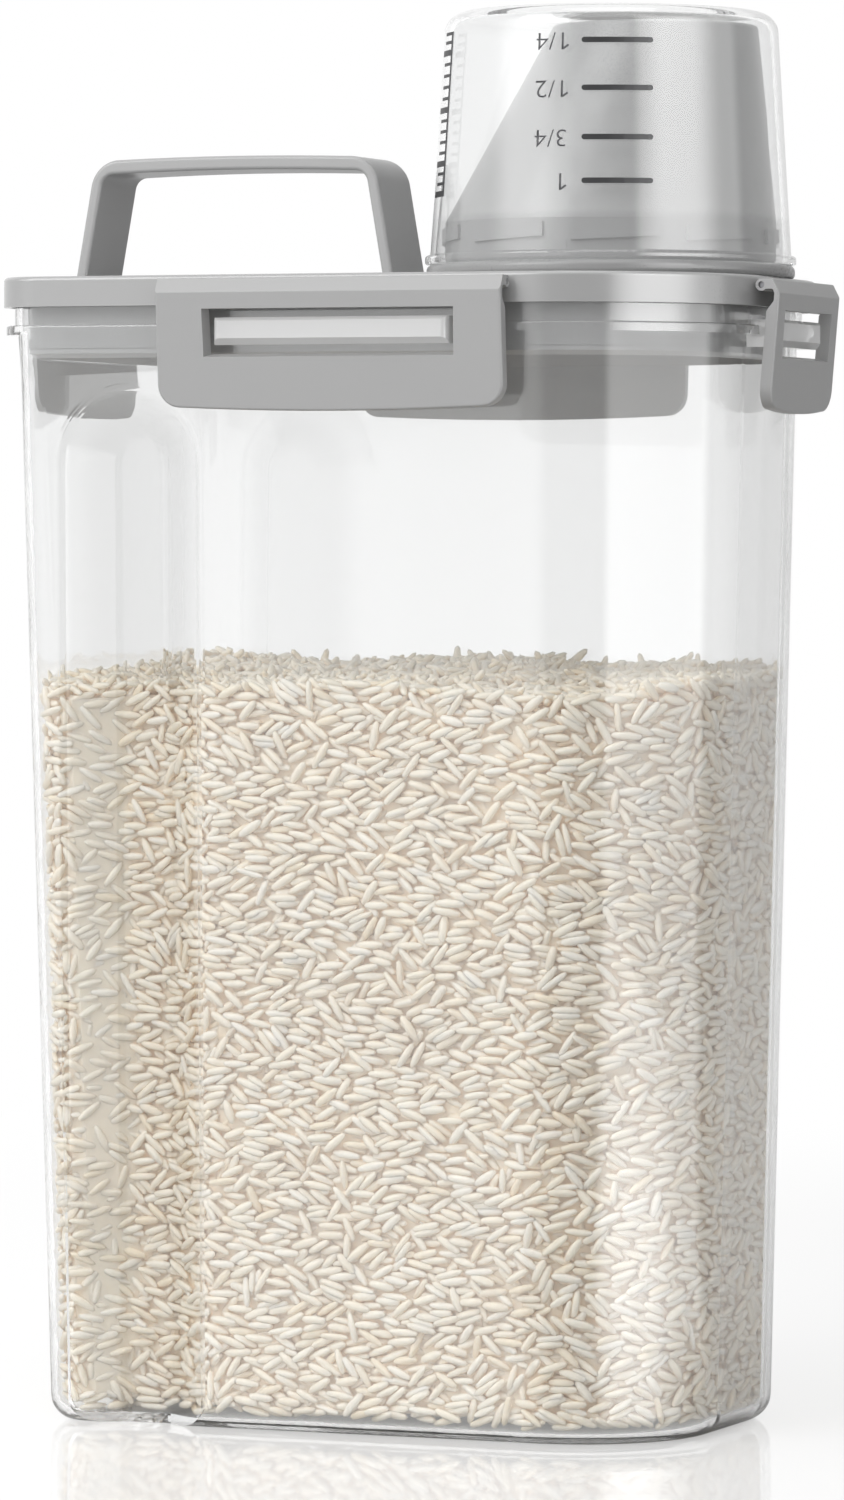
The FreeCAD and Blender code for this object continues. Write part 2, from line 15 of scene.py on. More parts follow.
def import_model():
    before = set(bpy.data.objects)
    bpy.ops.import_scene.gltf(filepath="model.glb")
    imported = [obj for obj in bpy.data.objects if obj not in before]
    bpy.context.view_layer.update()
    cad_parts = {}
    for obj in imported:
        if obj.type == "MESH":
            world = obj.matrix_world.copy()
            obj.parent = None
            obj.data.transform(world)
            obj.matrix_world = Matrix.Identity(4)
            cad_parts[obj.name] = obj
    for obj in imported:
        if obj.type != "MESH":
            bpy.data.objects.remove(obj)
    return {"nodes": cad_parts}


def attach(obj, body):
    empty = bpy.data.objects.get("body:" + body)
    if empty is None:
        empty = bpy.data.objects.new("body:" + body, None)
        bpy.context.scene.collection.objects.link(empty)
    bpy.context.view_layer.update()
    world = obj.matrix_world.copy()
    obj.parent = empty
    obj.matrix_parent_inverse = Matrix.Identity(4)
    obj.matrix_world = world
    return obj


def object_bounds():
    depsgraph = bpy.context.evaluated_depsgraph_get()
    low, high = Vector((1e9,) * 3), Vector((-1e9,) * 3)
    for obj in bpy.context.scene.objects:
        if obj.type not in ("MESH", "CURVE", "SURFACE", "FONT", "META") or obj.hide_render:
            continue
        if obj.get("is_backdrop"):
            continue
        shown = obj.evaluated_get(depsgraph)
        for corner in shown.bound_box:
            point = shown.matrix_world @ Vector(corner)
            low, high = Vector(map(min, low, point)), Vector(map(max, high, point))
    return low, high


LOG = logging.getLogger("rice_container")
MM = 0.001
SIDES = ("front", "back", "left", "right")
WHITE = (1.0, 1.0, 1.0, 1.0)
Triple = tuple[float, float, float]


class Zone(Enum):
    """Where in the tub a rice grain lies."""

    FRONT = 0
    BACK = 1
    LEFT = 2
    RIGHT = 3
    TOP = 4


# Modelling helpers


def clear_selection() -> None:
    """Leaves edit mode and deselects every object."""
    active = bpy.context.view_layer.objects.active
    if active and active.mode != "OBJECT":
        bpy.ops.object.mode_set(mode="OBJECT")
    bpy.ops.object.select_all(action="DESELECT")


def pick(obj: bpy.types.Object) -> None:
    """Selects one object alone and makes it the active one.

    Args:
        obj: The object to select.
    """
    clear_selection()
    obj.select_set(True)
    bpy.context.view_layer.objects.active = obj


def adopt(name: str) -> bpy.types.Object:
    """Names the object that an operator has just added.

    Args:
        name: The name for the object and its data.

    Returns:
        The active object.
    """
    obj = bpy.context.object
    obj.name = obj.data.name = name
    return obj


def add_object(name: str, data: Any) -> bpy.types.Object:
    """Adds an object for a mesh, a lamp or a camera.

    Args:
        name: The object's name.
        data: What it shows.

    Returns:
        The object.
    """
    obj = bpy.data.objects.new(name, data)
    bpy.context.scene.collection.objects.link(obj)
    return obj


def settle(obj: bpy.types.Object) -> None:
    """Moves an object's place, turn and scale into its mesh."""
    pick(obj)
    bpy.ops.object.transform_apply(location=True, rotation=True, scale=True)


@contextmanager
def editing(obj: bpy.types.Object, everything: bool = False) -> Iterator[None]:
    """Opens a mesh in edit mode for a block of operators.

    Args:
        obj: The mesh object to edit.
        everything: Whether all of it starts selected, or else nothing.

    Yields:
        Nothing: the operators act on the open mesh.
    """
    pick(obj)
    bpy.ops.object.mode_set(mode="EDIT")
    bpy.ops.mesh.select_all(action="SELECT" if everything else "DESELECT")
    yield
    bpy.ops.object.mode_set(mode="OBJECT")


def face_outwards(obj: bpy.types.Object) -> None:
    """Turns the faces of a mesh outwards."""
    with editing(obj, everything=True):
        bpy.ops.mesh.normals_make_consistent(inside=False)


def slice_across(
    obj: bpy.types.Object, axis: int, start: float, length: float, strips: int
) -> None:
    """Cuts a flat mesh into even strips, so that it can bend.

    Args:
        obj: The mesh object.
        axis: 0 for cuts across X, 1 for cuts across Y.
        start: Where the first strip begins.
        length: Length of all strips together.
        strips: Their number.
    """
    way = Vector((axis == 0, axis == 1, 0))
    with editing(obj):
        for step in range(1, strips):
            bpy.ops.mesh.select_all(action="SELECT")
            bpy.ops.mesh.bisect(plane_co=way * (start + length * step / strips), plane_no=way)


def apply_modifier(obj: bpy.types.Object, kind: str, **settings: Any) -> None:
    """Adds one modifier, sets it and applies it.

    Args:
        obj: The object to change.
        kind: The modifier's type.
        **settings: The modifier's own settings.
    """
    pick(obj)
    modifier = obj.modifiers.new(kind.lower(), kind)
    for name, value in settings.items():
        setattr(modifier, name, value)
    bpy.ops.object.modifier_apply(modifier=modifier.name)


def join(parts: list[bpy.types.Object], name: str) -> bpy.types.Object:
    """Joins several meshes into one piece.

    Args:
        parts: The objects to join.
        name: The piece's name.

    Returns:
        The joined object.
    """
    pick(parts[0])
    for part in parts[1:]:
        part.select_set(True)
    bpy.ops.object.join()
    return adopt(name)


def put_in_order(obj: bpy.types.Object) -> None:
    """Numbers a mesh's points and faces by their place, which extruding leaves to chance.

    Args:
        obj: The mesh object.
    """
    mesh = obj.data
    places = [tuple(round(part, 7) for part in reversed(point.co)) for point in mesh.vertices]
    order = sorted(range(len(places)), key=places.__getitem__)
    rank = {number: place for place, number in enumerate(order)}
    faces = []
    for face in mesh.polygons:
        corners = [rank[number] for number in face.vertices]
        first = corners.index(min(corners))
        faces.append(corners[first:] + corners[:first])
    points = [mesh.vertices[number].co.copy() for number in order]
    mesh.clear_geometry()
    mesh.from_pydata(points, [], sorted(faces))


def dress(obj: bpy.types.Object, material: bpy.types.Material) -> None:
    """Gives an object one material in all its slots.

    Args:
        obj: The object to dress.
        material: The material that it gets.
    """
    if not obj.material_slots:
        obj.data.materials.append(material)
    for slot in obj.material_slots:
        slot.material = material


def unit(vectors: np.ndarray) -> np.ndarray:
    """Gives each vector the length 1."""
    return vectors / np.linalg.norm(vectors, axis=1, keepdims=True)


def direction(azimuth: float, elevation: float) -> Vector:
    """The way from the container to a camera or a lamp.

    Args:
        azimuth: Degrees round from the front, towards the right.
        elevation: Degrees above the horizon.

    Returns:
        The direction.
    """
    turn, rise = math.radians(azimuth), math.radians(elevation)
    flat = math.cos(rise)
    return Vector((math.sin(turn) * flat, -math.cos(turn) * flat, math.sin(rise)))


# Node trees


def rgba(colour: Triple) -> tuple[float, float, float, float]:
    """Adds an alpha of 1 to a colour."""
    return (*colour, 1.0)


class NodeSheet:
    """A node tree that a finish is written into."""

    def __init__(self, tree: bpy.types.NodeTree) -> None:
        """Takes over a tree and empties it.

        Args:
            tree: The node tree to fill.
        """
        self.tree = tree
        tree.nodes.clear()

    def feed(self, node: bpy.types.Node, inputs: dict[str | int, Any]) -> None:
        """Sets or links a node's inputs.

        Args:
            node: The node.
            inputs: A value or another node's output for each input.
        """
        for key, value in inputs.items():
            if isinstance(value, bpy.types.NodeSocket):
                self.tree.links.new(value, node.inputs[key])
            else:
                node.inputs[key].default_value = value

    def add(
        self, kind: str, inputs: dict[str | int, Any] | None = None, **settings: Any
    ) -> bpy.types.NodeOutputs:
        """Adds a node, sets it and feeds it.

        Args:
            kind: The node's type, without the words that all types begin with.
            inputs: A value or another node's output for each input.
            **settings: The node's own settings.

        Returns:
            The new node's outputs.
        """
        node = self.tree.nodes.new("ShaderNode" + kind)
        for name, value in settings.items():
            setattr(node, name, value)
        self.feed(node, inputs or {})
        return node.outputs

    def math(self, operation: str, *values: Any, clamp: bool = False) -> bpy.types.NodeSocket:
        """Adds a Math node.

        Args:
            operation: The sum to do.
            *values: One value or output for each input.
            clamp: Whether the result is held between 0 and 1.

        Returns:
            The result.
        """
        return self.add("Math", dict(enumerate(values)), operation=operation, use_clamp=clamp)[0]

    def fade(
        self, value: Any, start: Any, end: Any, low: Any = 0.0, high: Any = 1.0,
        curve: str = "LINEAR",
    ) -> bpy.types.NodeSocket:
        """Maps one range onto another and holds its ends.

        Args:
            value: The value to map.
            start: The value that becomes low.
            end: The value that becomes high.
            low: What the start becomes.
            high: What the end becomes.
            curve: The way of going from one to the other.

        Returns:
            The mapped value.
        """
        ranges = {"Value": value, "From Min": start, "From Max": end, "To Min": low, "To Max": high}
        return self.add("MapRange", ranges, interpolation_type=curve)[0]

    def spread(self, value: Any, low: Any, high: Any) -> bpy.types.NodeSocket:
        """Maps 0 to 1 onto another range."""
        return self.fade(value, 0.0, 1.0, low, high)

    def noise(self, where: bpy.types.NodeSocket, scale: Any, detail: float) -> bpy.types.NodeSocket:
        """Noise from 0 to 1, with so many waves for each metre and octaves of finer noise."""
        return self.add("TexNoise", {"Vector": where, "Scale": scale, "Detail": detail})["Fac"]

    def scaled(self, vector: Any, factor: Any) -> bpy.types.NodeSocket:
        """Multiplies a colour or a vector by a value."""
        return self.add("VectorMath", {0: vector, "Scale": factor}, operation="SCALE")[0]

    def bumped(self, height: Any, depth: Any) -> bpy.types.NodeSocket:
        """The normal of a surface with a relief."""
        return self.add("Bump", {"Strength": 1.0, "Distance": depth, "Height": height})[0]

    def place(self) -> bpy.types.NodeSocket:
        """Each point's place on the object."""
        return self.add("TexCoord")["Object"]

    def axes(self, vector: bpy.types.NodeSocket) -> bpy.types.NodeOutputs:
        """X, Y and Z of a vector."""
        return self.add("SeparateXYZ", {"Vector": vector})

    def mix(self, share: Any, first: Any, second: Any) -> bpy.types.NodeSocket:
        """Mixes two shaders."""
        return self.add("MixShader", {0: share, 1: first, 2: second})[0]

    def rays(self, *kinds: str) -> bpy.types.NodeSocket:
        """Picks out the rays of one or two kinds.

        Args:
            *kinds: The kinds.

        Returns:
            1 for those rays and 0 for others.
        """
        path = self.add("LightPath")
        found = [path[f"Is {kind} Ray"] for kind in kinds]
        return self.math("ADD", *found, clamp=True) if len(found) > 1 else found[0]

    def ramp(
        self, fac: Any, stops: Sequence[tuple[float, Triple]], curve: str = "LINEAR"
    ) -> bpy.types.NodeSocket:
        """Turns a value into a colour.

        Args:
            fac: The value.
            stops: The value and the colour of each stop, in rising order.
            curve: The way of going from stop to stop.

        Returns:
            The colour.
        """
        node = self.tree.nodes.new("ShaderNodeValToRGB")
        self.feed(node, {"Fac": fac})
        node.color_ramp.interpolation = curve
        points = node.color_ramp.elements
        for index in (0, -1):
            points[index].position = stops[index][0]
            points[index].color = rgba(stops[index][1])
        for place, colour in stops[1:-1]:
            points.new(place).color = rgba(colour)
        return node.outputs["Color"]

    def group(self, tree: bpy.types.NodeTree, inputs: dict[str, Any]) -> bpy.types.NodeOutputs:
        """Places a shared node group with its own inputs."""
        return self.add("Group", inputs, node_tree=tree)

    def principled(
        self, skin: dict[str, Any] | bpy.types.NodeOutputs, **inputs: Any
    ) -> bpy.types.NodeSocket:
        """Adds a Principled shader.

        Args:
            skin: Its Roughness and Normal.
            **inputs: Its other inputs, with a low line for each space.

        Returns:
            The shader.
        """
        rest = {name.replace("_", " "): value for name, value in inputs.items()}
        surface = {"Roughness": skin["Roughness"], "Normal": skin["Normal"], **rest}
        return self.add("BsdfPrincipled", surface)[0]


def new_material(name: str) -> tuple[bpy.types.Material, NodeSheet]:
    """Starts a node material.

    Args:
        name: The material's name.

    Returns:
        The material and its empty sheet.
    """
    material = bpy.data.materials.new(name)
    material.use_nodes = True
    return material, NodeSheet(material.node_tree)


def new_group(
    name: str, inputs: dict[str, str], outputs: dict[str, str]
) -> tuple[NodeSheet, bpy.types.NodeOutputs, bpy.types.Node]:
    """Starts a shader node group with named sockets.

    Args:
        name: The group's name.
        inputs: Kind of each input by its name.
        outputs: Kind of each output by its name.

    Returns:
        Its sheet, what its inputs give, and its output node.
    """
    tree = bpy.data.node_groups.new(name, "ShaderNodeTree")
    for in_out, sockets in (("INPUT", inputs), ("OUTPUT", outputs)):
        for socket, kind in sockets.items():
            tree.interface.new_socket(socket, in_out=in_out, socket_type="NodeSocket" + kind)
    sheet = NodeSheet(tree)
    given = tree.nodes.new("NodeGroupInput")
    return sheet, given.outputs, tree.nodes.new("NodeGroupOutput")


class Effects:
    """The surface effects that several finishes share, each built once as a node group."""

    def __init__(self) -> None:
        """Builds the groups."""
        self.mould_grain = self._mould_grain()
        self.handling = self._handling()

    @staticmethod
    def _mould_grain(slow_scale: float = 23.0) -> bpy.types.NodeTree:
        """The fine even grain of a moulded part, with a slow drift in tone and gloss.

        Args:
            slow_scale: Waves of the drift for each metre.

        Returns:
            The node group.
        """
        sheet, given, out = new_group(
            "mould_grain",
            {"Colour": "Color", "Grain Scale": "Float", "Grain Depth": "Float",
             "Tone Drift": "Float", "Roughness": "Float", "Gloss Drift": "Float"},
            {"Colour": "Color", "Roughness": "Float", "Normal": "Vector"},
        )
        where = sheet.place()
        grain = sheet.noise(where, given["Grain Scale"], 3.0)
        slow = sheet.noise(where, slow_scale, 2.0)
        darkest, palest = (
            sheet.math(sign, 1.0, given["Tone Drift"]) for sign in ("SUBTRACT", "ADD")
        )
        rough = given["Roughness"]
        for wave in (slow, grain):
            offset = sheet.math("MULTIPLY", sheet.math("SUBTRACT", wave, 0.5), given["Gloss Drift"])
            rough = sheet.math("ADD", rough, offset, clamp=wave is grain)
        sheet.feed(out, {
            "Colour": sheet.scaled(given["Colour"], sheet.spread(slow, darkest, palest)),
            "Roughness": rough,
            "Normal": sheet.bumped(grain, given["Grain Depth"]),
        })
        return sheet.tree

    @staticmethod
    def _handling(
        wave_scale: float = 42.0, stretch: float = 0.12, smear_scale: float = 70.0,
        smeared: tuple[float, float] = (0.55, 0.8),
    ) -> bpy.types.NodeTree:
        """Faint wipe marks and upright flow waves on clear plastic.

        Args:
            wave_scale: Flow waves for each metre.
            stretch: Their rate along the height against that across it.
            smear_scale: Wipe marks for each metre.
            smeared: Noise at which a wipe mark starts and is full.

        Returns:
            The node group.
        """
        sheet, given, out = new_group(
            "handling",
            {"Wave Depth": "Float", "Haze": "Float", "Roughness": "Float"},
            {"Roughness": "Float", "Normal": "Vector"},
        )
        where = sheet.place()
        stretched = sheet.add("Mapping", {"Vector": where, "Scale": (1.0, 1.0, stretch)})[0]
        smear = sheet.fade(sheet.noise(where, smear_scale, 4.0), *smeared)
        haze = sheet.math("MULTIPLY", smear, given["Haze"])
        sheet.feed(out, {
            "Roughness": sheet.math("ADD", given["Roughness"], haze),
            "Normal": sheet.bumped(sheet.noise(stretched, wave_scale, 1.0), given["Wave Depth"]),
        })
        return sheet.tree


# Finishes


@dataclass(frozen=True)
class Grained:
    """A coloured surface with a fine grain, whose tone and gloss wander a little.

    Attributes:
        name: The material's name.
        colour: Its own colour.
        roughness: How matt it is.
        grain_scale: Grains for each metre.
        grain_depth: Height of the grain.
        tone_drift: How far the tone wanders.
        gloss_drift: How far the roughness wanders.
        refraction: Its refractive index.
        metal: 1 for metal.
        sheen: Weight of a dusty sheen.
        coat: Weight of the smoother skin over the grain.
        coat_roughness: How matt that skin is.
        top_roughness: How matt faces that look up are, where the skin ends too, or none.
        top_slope: Upward part of the normal where that starts and is full.
    """

    name: str
    colour: Triple
    roughness: float = 0.38
    grain_scale: float = 2600.0
    grain_depth: float = 0.012 * MM
    tone_drift: float = 0.025
    gloss_drift: float = 0.12
    refraction: float = 1.5
    metal: float = 0.0
    sheen: float = 0.0
    coat: float = 0.0
    coat_roughness: float = 0.03
    top_roughness: float | None = None
    top_slope: tuple[float, float] = (0.9, 0.98)

    def material(self, effects: Effects) -> bpy.types.Material:
        """Writes the finish as a material.

        Args:
            effects: The shared node groups.

        Returns:
            The material.
        """
        material, sheet = new_material(self.name)
        grain = sheet.group(effects.mould_grain, {
            "Colour": rgba(self.colour), "Grain Scale": self.grain_scale,
            "Grain Depth": self.grain_depth, "Tone Drift": self.tone_drift,
            "Roughness": self.roughness, "Gloss Drift": self.gloss_drift,
        })
        skin = {"Roughness": grain["Roughness"], "Normal": grain["Normal"]}
        coat: Any = self.coat
        if self.top_roughness is not None:
            up = sheet.fade(sheet.axes(sheet.add("TexCoord")["Normal"])["Z"], *self.top_slope)
            skin["Roughness"] = sheet.spread(up, skin["Roughness"], self.top_roughness)
            coat = sheet.spread(up, coat, 0.0)
        shader = sheet.principled(
            skin, Base_Color=grain["Colour"], IOR=self.refraction, Metallic=self.metal,
            Sheen_Weight=self.sheen, Coat_Weight=coat, Coat_Roughness=self.coat_roughness,
        )
        sheet.add("OutputMaterial", {"Surface": shader})
        return material


@dataclass(frozen=True)
class SatinPlastic(Grained):
    """Coloured moulded plastic with a fine satin grain."""

    refraction: float = 1.49
    coat_roughness: float = 0.12


@dataclass(frozen=True)
class Silicone(Grained):
    """Soft milky seal."""

    roughness: float = 0.32
    grain_scale: float = 2200.0
    grain_depth: float = 0.003 * MM
    tone_drift: float = 0.05
    gloss_drift: float = 0.1
    refraction: float = 1.42
    sheen: float = 0.1


@dataclass(frozen=True)
class DrawnSteel(Grained):
    """Drawn wire, with a finer and more uneven grain."""

    roughness: float = 0.45
    grain_scale: float = 5200.0
    grain_depth: float = 0.004 * MM
    tone_drift: float = 0.06
    gloss_drift: float = 0.25
    metal: float = 1.0


@dataclass(frozen=True)
class PrintInk(Grained):
    """Screen-printed ink on the cup."""

    roughness: float = 0.45
    grain_scale: float = 6000.0
    grain_depth: float = 0.006 * MM
    tone_drift: float = 0.15
    gloss_drift: float = 0.2


@dataclass(frozen=True)
class Lug:
    """A block of clear plastic, painted milky white to stand in for the light that shines through
    it.

    Attributes:
        middle: Its middle.
        half: Half of its length, width and height.
    """

    middle: Triple
    half: Triple


@dataclass(frozen=True)
class Groove:
    """Where the tub's wall is pushed in, at the front and the back, with painted shade that darkens
    the plastic's colour there, and a weaker gloss.

    Attributes:
        middle_x: Middle of its width.
        half_width: Half of its width.
        wall_y: Half width of the tub over the outer wall, at its foot.
        draft: How much that grows for each metre of height.
        depth: Depth at which the full painted shade is reached.
        tone: What is left of the plastic's colour under the painted shade there.
        polish: What is left of the plastic's gloss there.
        edge: Width over which its sides fade in.
        shallow: Share of the full depth at which a point starts to count.
        beyond: Where the mask fades out again and has ended, against the depth.
    """

    middle_x: float
    half_width: float
    wall_y: float
    draft: float
    depth: float
    tone: float
    polish: float
    edge: float = 2 * MM
    shallow: float = 0.25
    beyond: tuple[float, float] = (1.6, 2.0)

    def mask(self, sheet: NodeSheet, full: float) -> bpy.types.NodeSocket:
        """How far each point lies in the groove, on its outer face.

        Args:
            sheet: The material's sheet.
            full: Depth from which a point counts as fully inside.

        Returns:
            The mask.
        """
        axes = sheet.axes(sheet.place())
        aside = sheet.math("ABSOLUTE", sheet.math("SUBTRACT", axes["X"], self.middle_x))
        wall = sheet.math("MULTIPLY_ADD", axes["Z"], self.draft, self.wall_y)
        depth = sheet.math("SUBTRACT", wall, sheet.math("ABSOLUTE", axes["Y"]))
        last, gone = (share * self.depth for share in self.beyond)
        mask: Any = 1.0
        for value, off, on in (
            (aside, self.half_width, self.half_width - self.edge),
            (depth, self.shallow * full, full),
            (depth, gone, last),
        ):
            mask = sheet.math("MULTIPLY", mask, sheet.fade(value, off, on, curve="SMOOTHSTEP"))
        return mask


@dataclass(frozen=True)
class ClearPlastic:
    """Clear gloss plastic with a slight milky veil, which light passes through, shadows included.

    Attributes:
        name: The material's name.
        colour: What is left of white light after one face.
        refraction: How strongly it bends light.
        contour: What is left of the colour where the wall is seen edge on.
        contour_fall: How closely that keeps to the edge.
        clearness: Share that passes light, the rest scatters it as a veil.
        roughness: Roughness of its skin.
        gloss_refraction: Refractive index of its gloss, which sets how much it mirrors.
        haze: Extra roughness where it has been wiped.
        wave_depth: Height of the flow waves.
        lugs: Its blocks with painted light.
        painted_lug_share: Share of painted light in them, a milky white that stands in for the light
            shining through the clear lugs.
        painted_lug_white: Tone of that painted white.
        groove: Its groove, darkened by painted shade.
        foot_z: Height under which its colour is made greyer.
        foot_edge: Height over which that ends.
        foot_tone: What is left of its colour there.
    """

    name: str
    colour: Triple
    refraction: float = 1.28
    contour: float = 0.8
    contour_fall: float = 2.5
    clearness: float = 0.955
    roughness: float = 0.02
    gloss_refraction: float = 1.5
    haze: float = 0.05
    wave_depth: float = 0.003 * MM
    lugs: tuple[Lug, ...] = ()
    painted_lug_share: float = 0.63
    painted_lug_white: float = 0.92
    groove: Groove | None = None
    foot_z: float = 0.0
    foot_edge: float = 1.5 * MM
    foot_tone: float = 1.0

    def material(self, effects: Effects) -> bpy.types.Material:
        """Writes the finish as a material.

        Args:
            effects: The shared node groups.

        Returns:
            The material.
        """
        material, sheet = new_material(self.name)
        marks = sheet.group(effects.handling, {
            "Wave Depth": self.wave_depth, "Haze": self.haze, "Roughness": self.roughness,
        })
        edge_on = sheet.add("LayerWeight", {"Blend": 0.5})["Facing"]
        tone = sheet.spread(sheet.math("POWER", edge_on, self.contour_fall), 1.0, self.contour)
        polish: Any = 1.0
        if self.groove:
            # Painted shade: the plastic's colour is darkened inside the groove, where shade falls in
            # the recess.
            groove_shade = self.groove.mask(sheet, self.groove.depth)
            tone = sheet.math("MULTIPLY", tone, sheet.spread(groove_shade, 1.0, self.groove.tone))
            inside = self.groove.mask(sheet, self.groove.depth / 4)
            polish = sheet.spread(inside, 1.0, self.groove.polish)
        if self.foot_z:
            height = sheet.axes(sheet.place())["Z"]
            above = self.foot_z + self.foot_edge
            foot = sheet.fade(height, self.foot_z, above, low=self.foot_tone)
            tone = sheet.math("MULTIPLY", tone, foot)
        shader = sheet.principled(
            marks, Base_Color=sheet.scaled(self.colour, tone), IOR=self.refraction,
            Transmission_Weight=self.clearness, Coat_Weight=polish,
            Coat_Roughness=self.roughness, Coat_IOR=self.gloss_refraction,
        )
        # Painted light: a milky white shader is mixed in inside the lugs, standing in for the light
        # that shines through the clear plastic.
        if self.lugs:
            white = rgba((self.painted_lug_white,) * 3)
            milky = sheet.principled(marks, Base_Color=white, IOR=self.gloss_refraction)
            shader = sheet.mix(self._in_lugs(sheet), shader, milky)
        through = sheet.add("BsdfTransparent", {"Color": rgba(self.colour)})[0]
        mixed = sheet.mix(sheet.rays("Shadow", "Diffuse"), shader, through)
        sheet.add("OutputMaterial", {"Surface": mixed})
        return material

    def _in_lugs(self, sheet: NodeSheet) -> bpy.types.NodeSocket:
        """How much painted light each point gets: only inside the lugs.

        Args:
            sheet: The material's sheet.

        Returns:
            The mask.
        """
        axes = sheet.axes(sheet.place())
        mask: Any = 0.0
        for lug in self.lugs:
            inside: Any = self.painted_lug_share
            for axis, middle, half in zip("XYZ", lug.middle, lug.half):
                within = sheet.math("COMPARE", axes[axis], middle, half)
                inside = sheet.math("MULTIPLY", inside, within)
            mask = sheet.math("MAXIMUM", mask, inside)
        return mask


@dataclass(frozen=True)
class GrainSkin:
    """Polished rice: cream with chalky, yellowish and brownish grains.

    Attributes:
        name: The material's name.
        shades: Colours from the darkest grains to the palest.
        stops: Where each colour stands between 0 and 1.
        darkening: How far the slow drift darkens patches.
        patch_scale: Patches for each metre.
        mottling: How far specks darken it.
        speck_scale: Specks for each metre.
        speck_depth: Height of the specks.
        gloss: Roughness of the dark specks and of the pale ones.
        softness: Share of the light that spreads under the skin.
        spread: How far it spreads.
        spread_tint: How far each colour of it spreads against that.
        refraction: Its refractive index.
    """

    name: str
    shades: tuple[Triple, ...]
    stops: tuple[float, ...]
    darkening: float = 0.08
    patch_scale: float = 55.0
    mottling: float = 0.07
    speck_scale: float = 900.0
    speck_depth: float = 0.03 * MM
    gloss: tuple[float, float] = (0.3, 0.55)
    softness: float = 0.6
    spread: float = 1.4 * MM
    spread_tint: Triple = (1.0, 0.95, 0.9)
    refraction: float = 1.45

    def material(self) -> bpy.types.Material:
        """Writes the finish as a material.

        Returns:
            The material.
        """
        material, sheet = new_material(self.name)
        tone = sheet.add("Attribute", attribute_name="tone")["Fac"]
        colour = sheet.ramp(tone, tuple(zip(self.stops, self.shades)))
        where = sheet.place()
        patch = sheet.noise(where, self.patch_scale, 3.0)
        speck = sheet.noise(where, self.speck_scale, 2.0)
        mottled = sheet.math(
            "MULTIPLY",
            sheet.spread(patch, 1.0 - self.darkening, 1.0 + self.darkening),
            sheet.spread(speck, 1.0 - self.mottling, 1.0 + self.mottling),
        )
        skin = {
            "Roughness": sheet.spread(speck, *self.gloss),
            "Normal": sheet.bumped(speck, self.speck_depth),
        }
        shader = sheet.principled(
            skin, Base_Color=sheet.scaled(colour, mottled), IOR=self.refraction,
            Subsurface_Weight=self.softness, Subsurface_Radius=self.spread_tint,
            Subsurface_Scale=self.spread,
        )
        sheet.add("OutputMaterial", {"Surface": shader})
        return material


# The container's own pieces


@dataclass
class GreyMouldings:
    """The lid with its plug, the handle, the spout and the four flaps.

    Attributes:
        effects: The shared node groups.
        lid: Finish of the lid.
        flap: Finish of the flaps.
        handle: Finish of the handle.
        spout: Finish of the pouring spout.
    """

    effects: Effects
    lid: SatinPlastic = SatinPlastic(
        "satin_lid", (0.385, 0.385, 0.385), roughness=0.3, coat=0.7, top_roughness=0.62
    )
    flap: SatinPlastic = SatinPlastic("satin_flap", (0.395, 0.395, 0.395), roughness=0.42)
    handle: SatinPlastic = SatinPlastic("satin_handle", (0.40, 0.40, 0.40), roughness=0.34)
    spout: SatinPlastic = SatinPlastic("satin_spout", (0.365, 0.365, 0.365), roughness=0.3)

    def finish(self, nodes: dict[str, bpy.types.Object]) -> None:
        """Dresses the grey nodes.

        Args:
            nodes: The CAD nodes by name.
        """
        flap = self.flap.material(self.effects)
        for side in SIDES:
            dress(nodes[f"{side}_flap"], flap)
        dress(nodes["lid"], self.lid.material(self.effects))
        dress(nodes["handle"], self.handle.material(self.effects))
        dress(nodes["pour_spout"], self.spout.material(self.effects))
        LOG.info("grey mouldings dressed: lid, handle, pour_spout and four flaps")


@dataclass
class SealsAndPins:
    """The two soft rings and the four hinge pins.

    Attributes:
        effects: The shared node groups.
        gasket: Finish of the ring round the plug.
        seal: Finish of the ring under the cup.
        pin: Finish of the pins.
    """

    effects: Effects
    gasket: Silicone = Silicone("milky_gasket", (0.38, 0.38, 0.38))
    seal: Silicone = Silicone("milky_seal", (0.32, 0.32, 0.32), roughness=0.28)
    pin: DrawnSteel = DrawnSteel("drawn_pin", (0.24, 0.24, 0.25))

    def finish(self, nodes: dict[str, bpy.types.Object]) -> None:
        """Dresses the rings and pins.

        Args:
            nodes: The CAD nodes by name.
        """
        pin = self.pin.material(self.effects)
        for side in SIDES:
            dress(nodes[f"{side}_flap_pin"], pin)
        dress(nodes["lid_gasket"], self.gasket.material(self.effects))
        dress(nodes["cup_seal"], self.seal.material(self.effects))
        LOG.info("seals and pins dressed: lid_gasket, cup_seal and four pins")


@dataclass
class ClearTub:
    """The clear tub.

    Attributes:
        effects: The shared node groups.
        plastic: Its finish.
    """

    effects: Effects
    plastic: ClearPlastic = ClearPlastic(
        "clear_tub_wall",
        (0.963, 0.966, 0.966),
        groove=Groove(-50.9 * MM, 17 * MM, 46.9 * MM, 0.0205, 6.5 * MM, 0.92, 0.15),
        lugs=(
            Lug((0, -60 * MM, 239.65 * MM), (27.8 * MM, 8.2 * MM, 3.2 * MM)),
            Lug((0, 60 * MM, 239.65 * MM), (27.8 * MM, 8.2 * MM, 3.2 * MM)),
            Lug((-87.7 * MM, 0, 239.65 * MM), (8.2 * MM, 17.6 * MM, 3.2 * MM)),
            Lug((87.1 * MM, 0, 239.65 * MM), (8.2 * MM, 13.9 * MM, 3.2 * MM)),
        ),
    )

    def finish(self, nodes: dict[str, bpy.types.Object]) -> None:
        """Dresses the tub."""
        dress(nodes["tub"], self.plastic.material(self.effects))
        LOG.info("tub dressed")


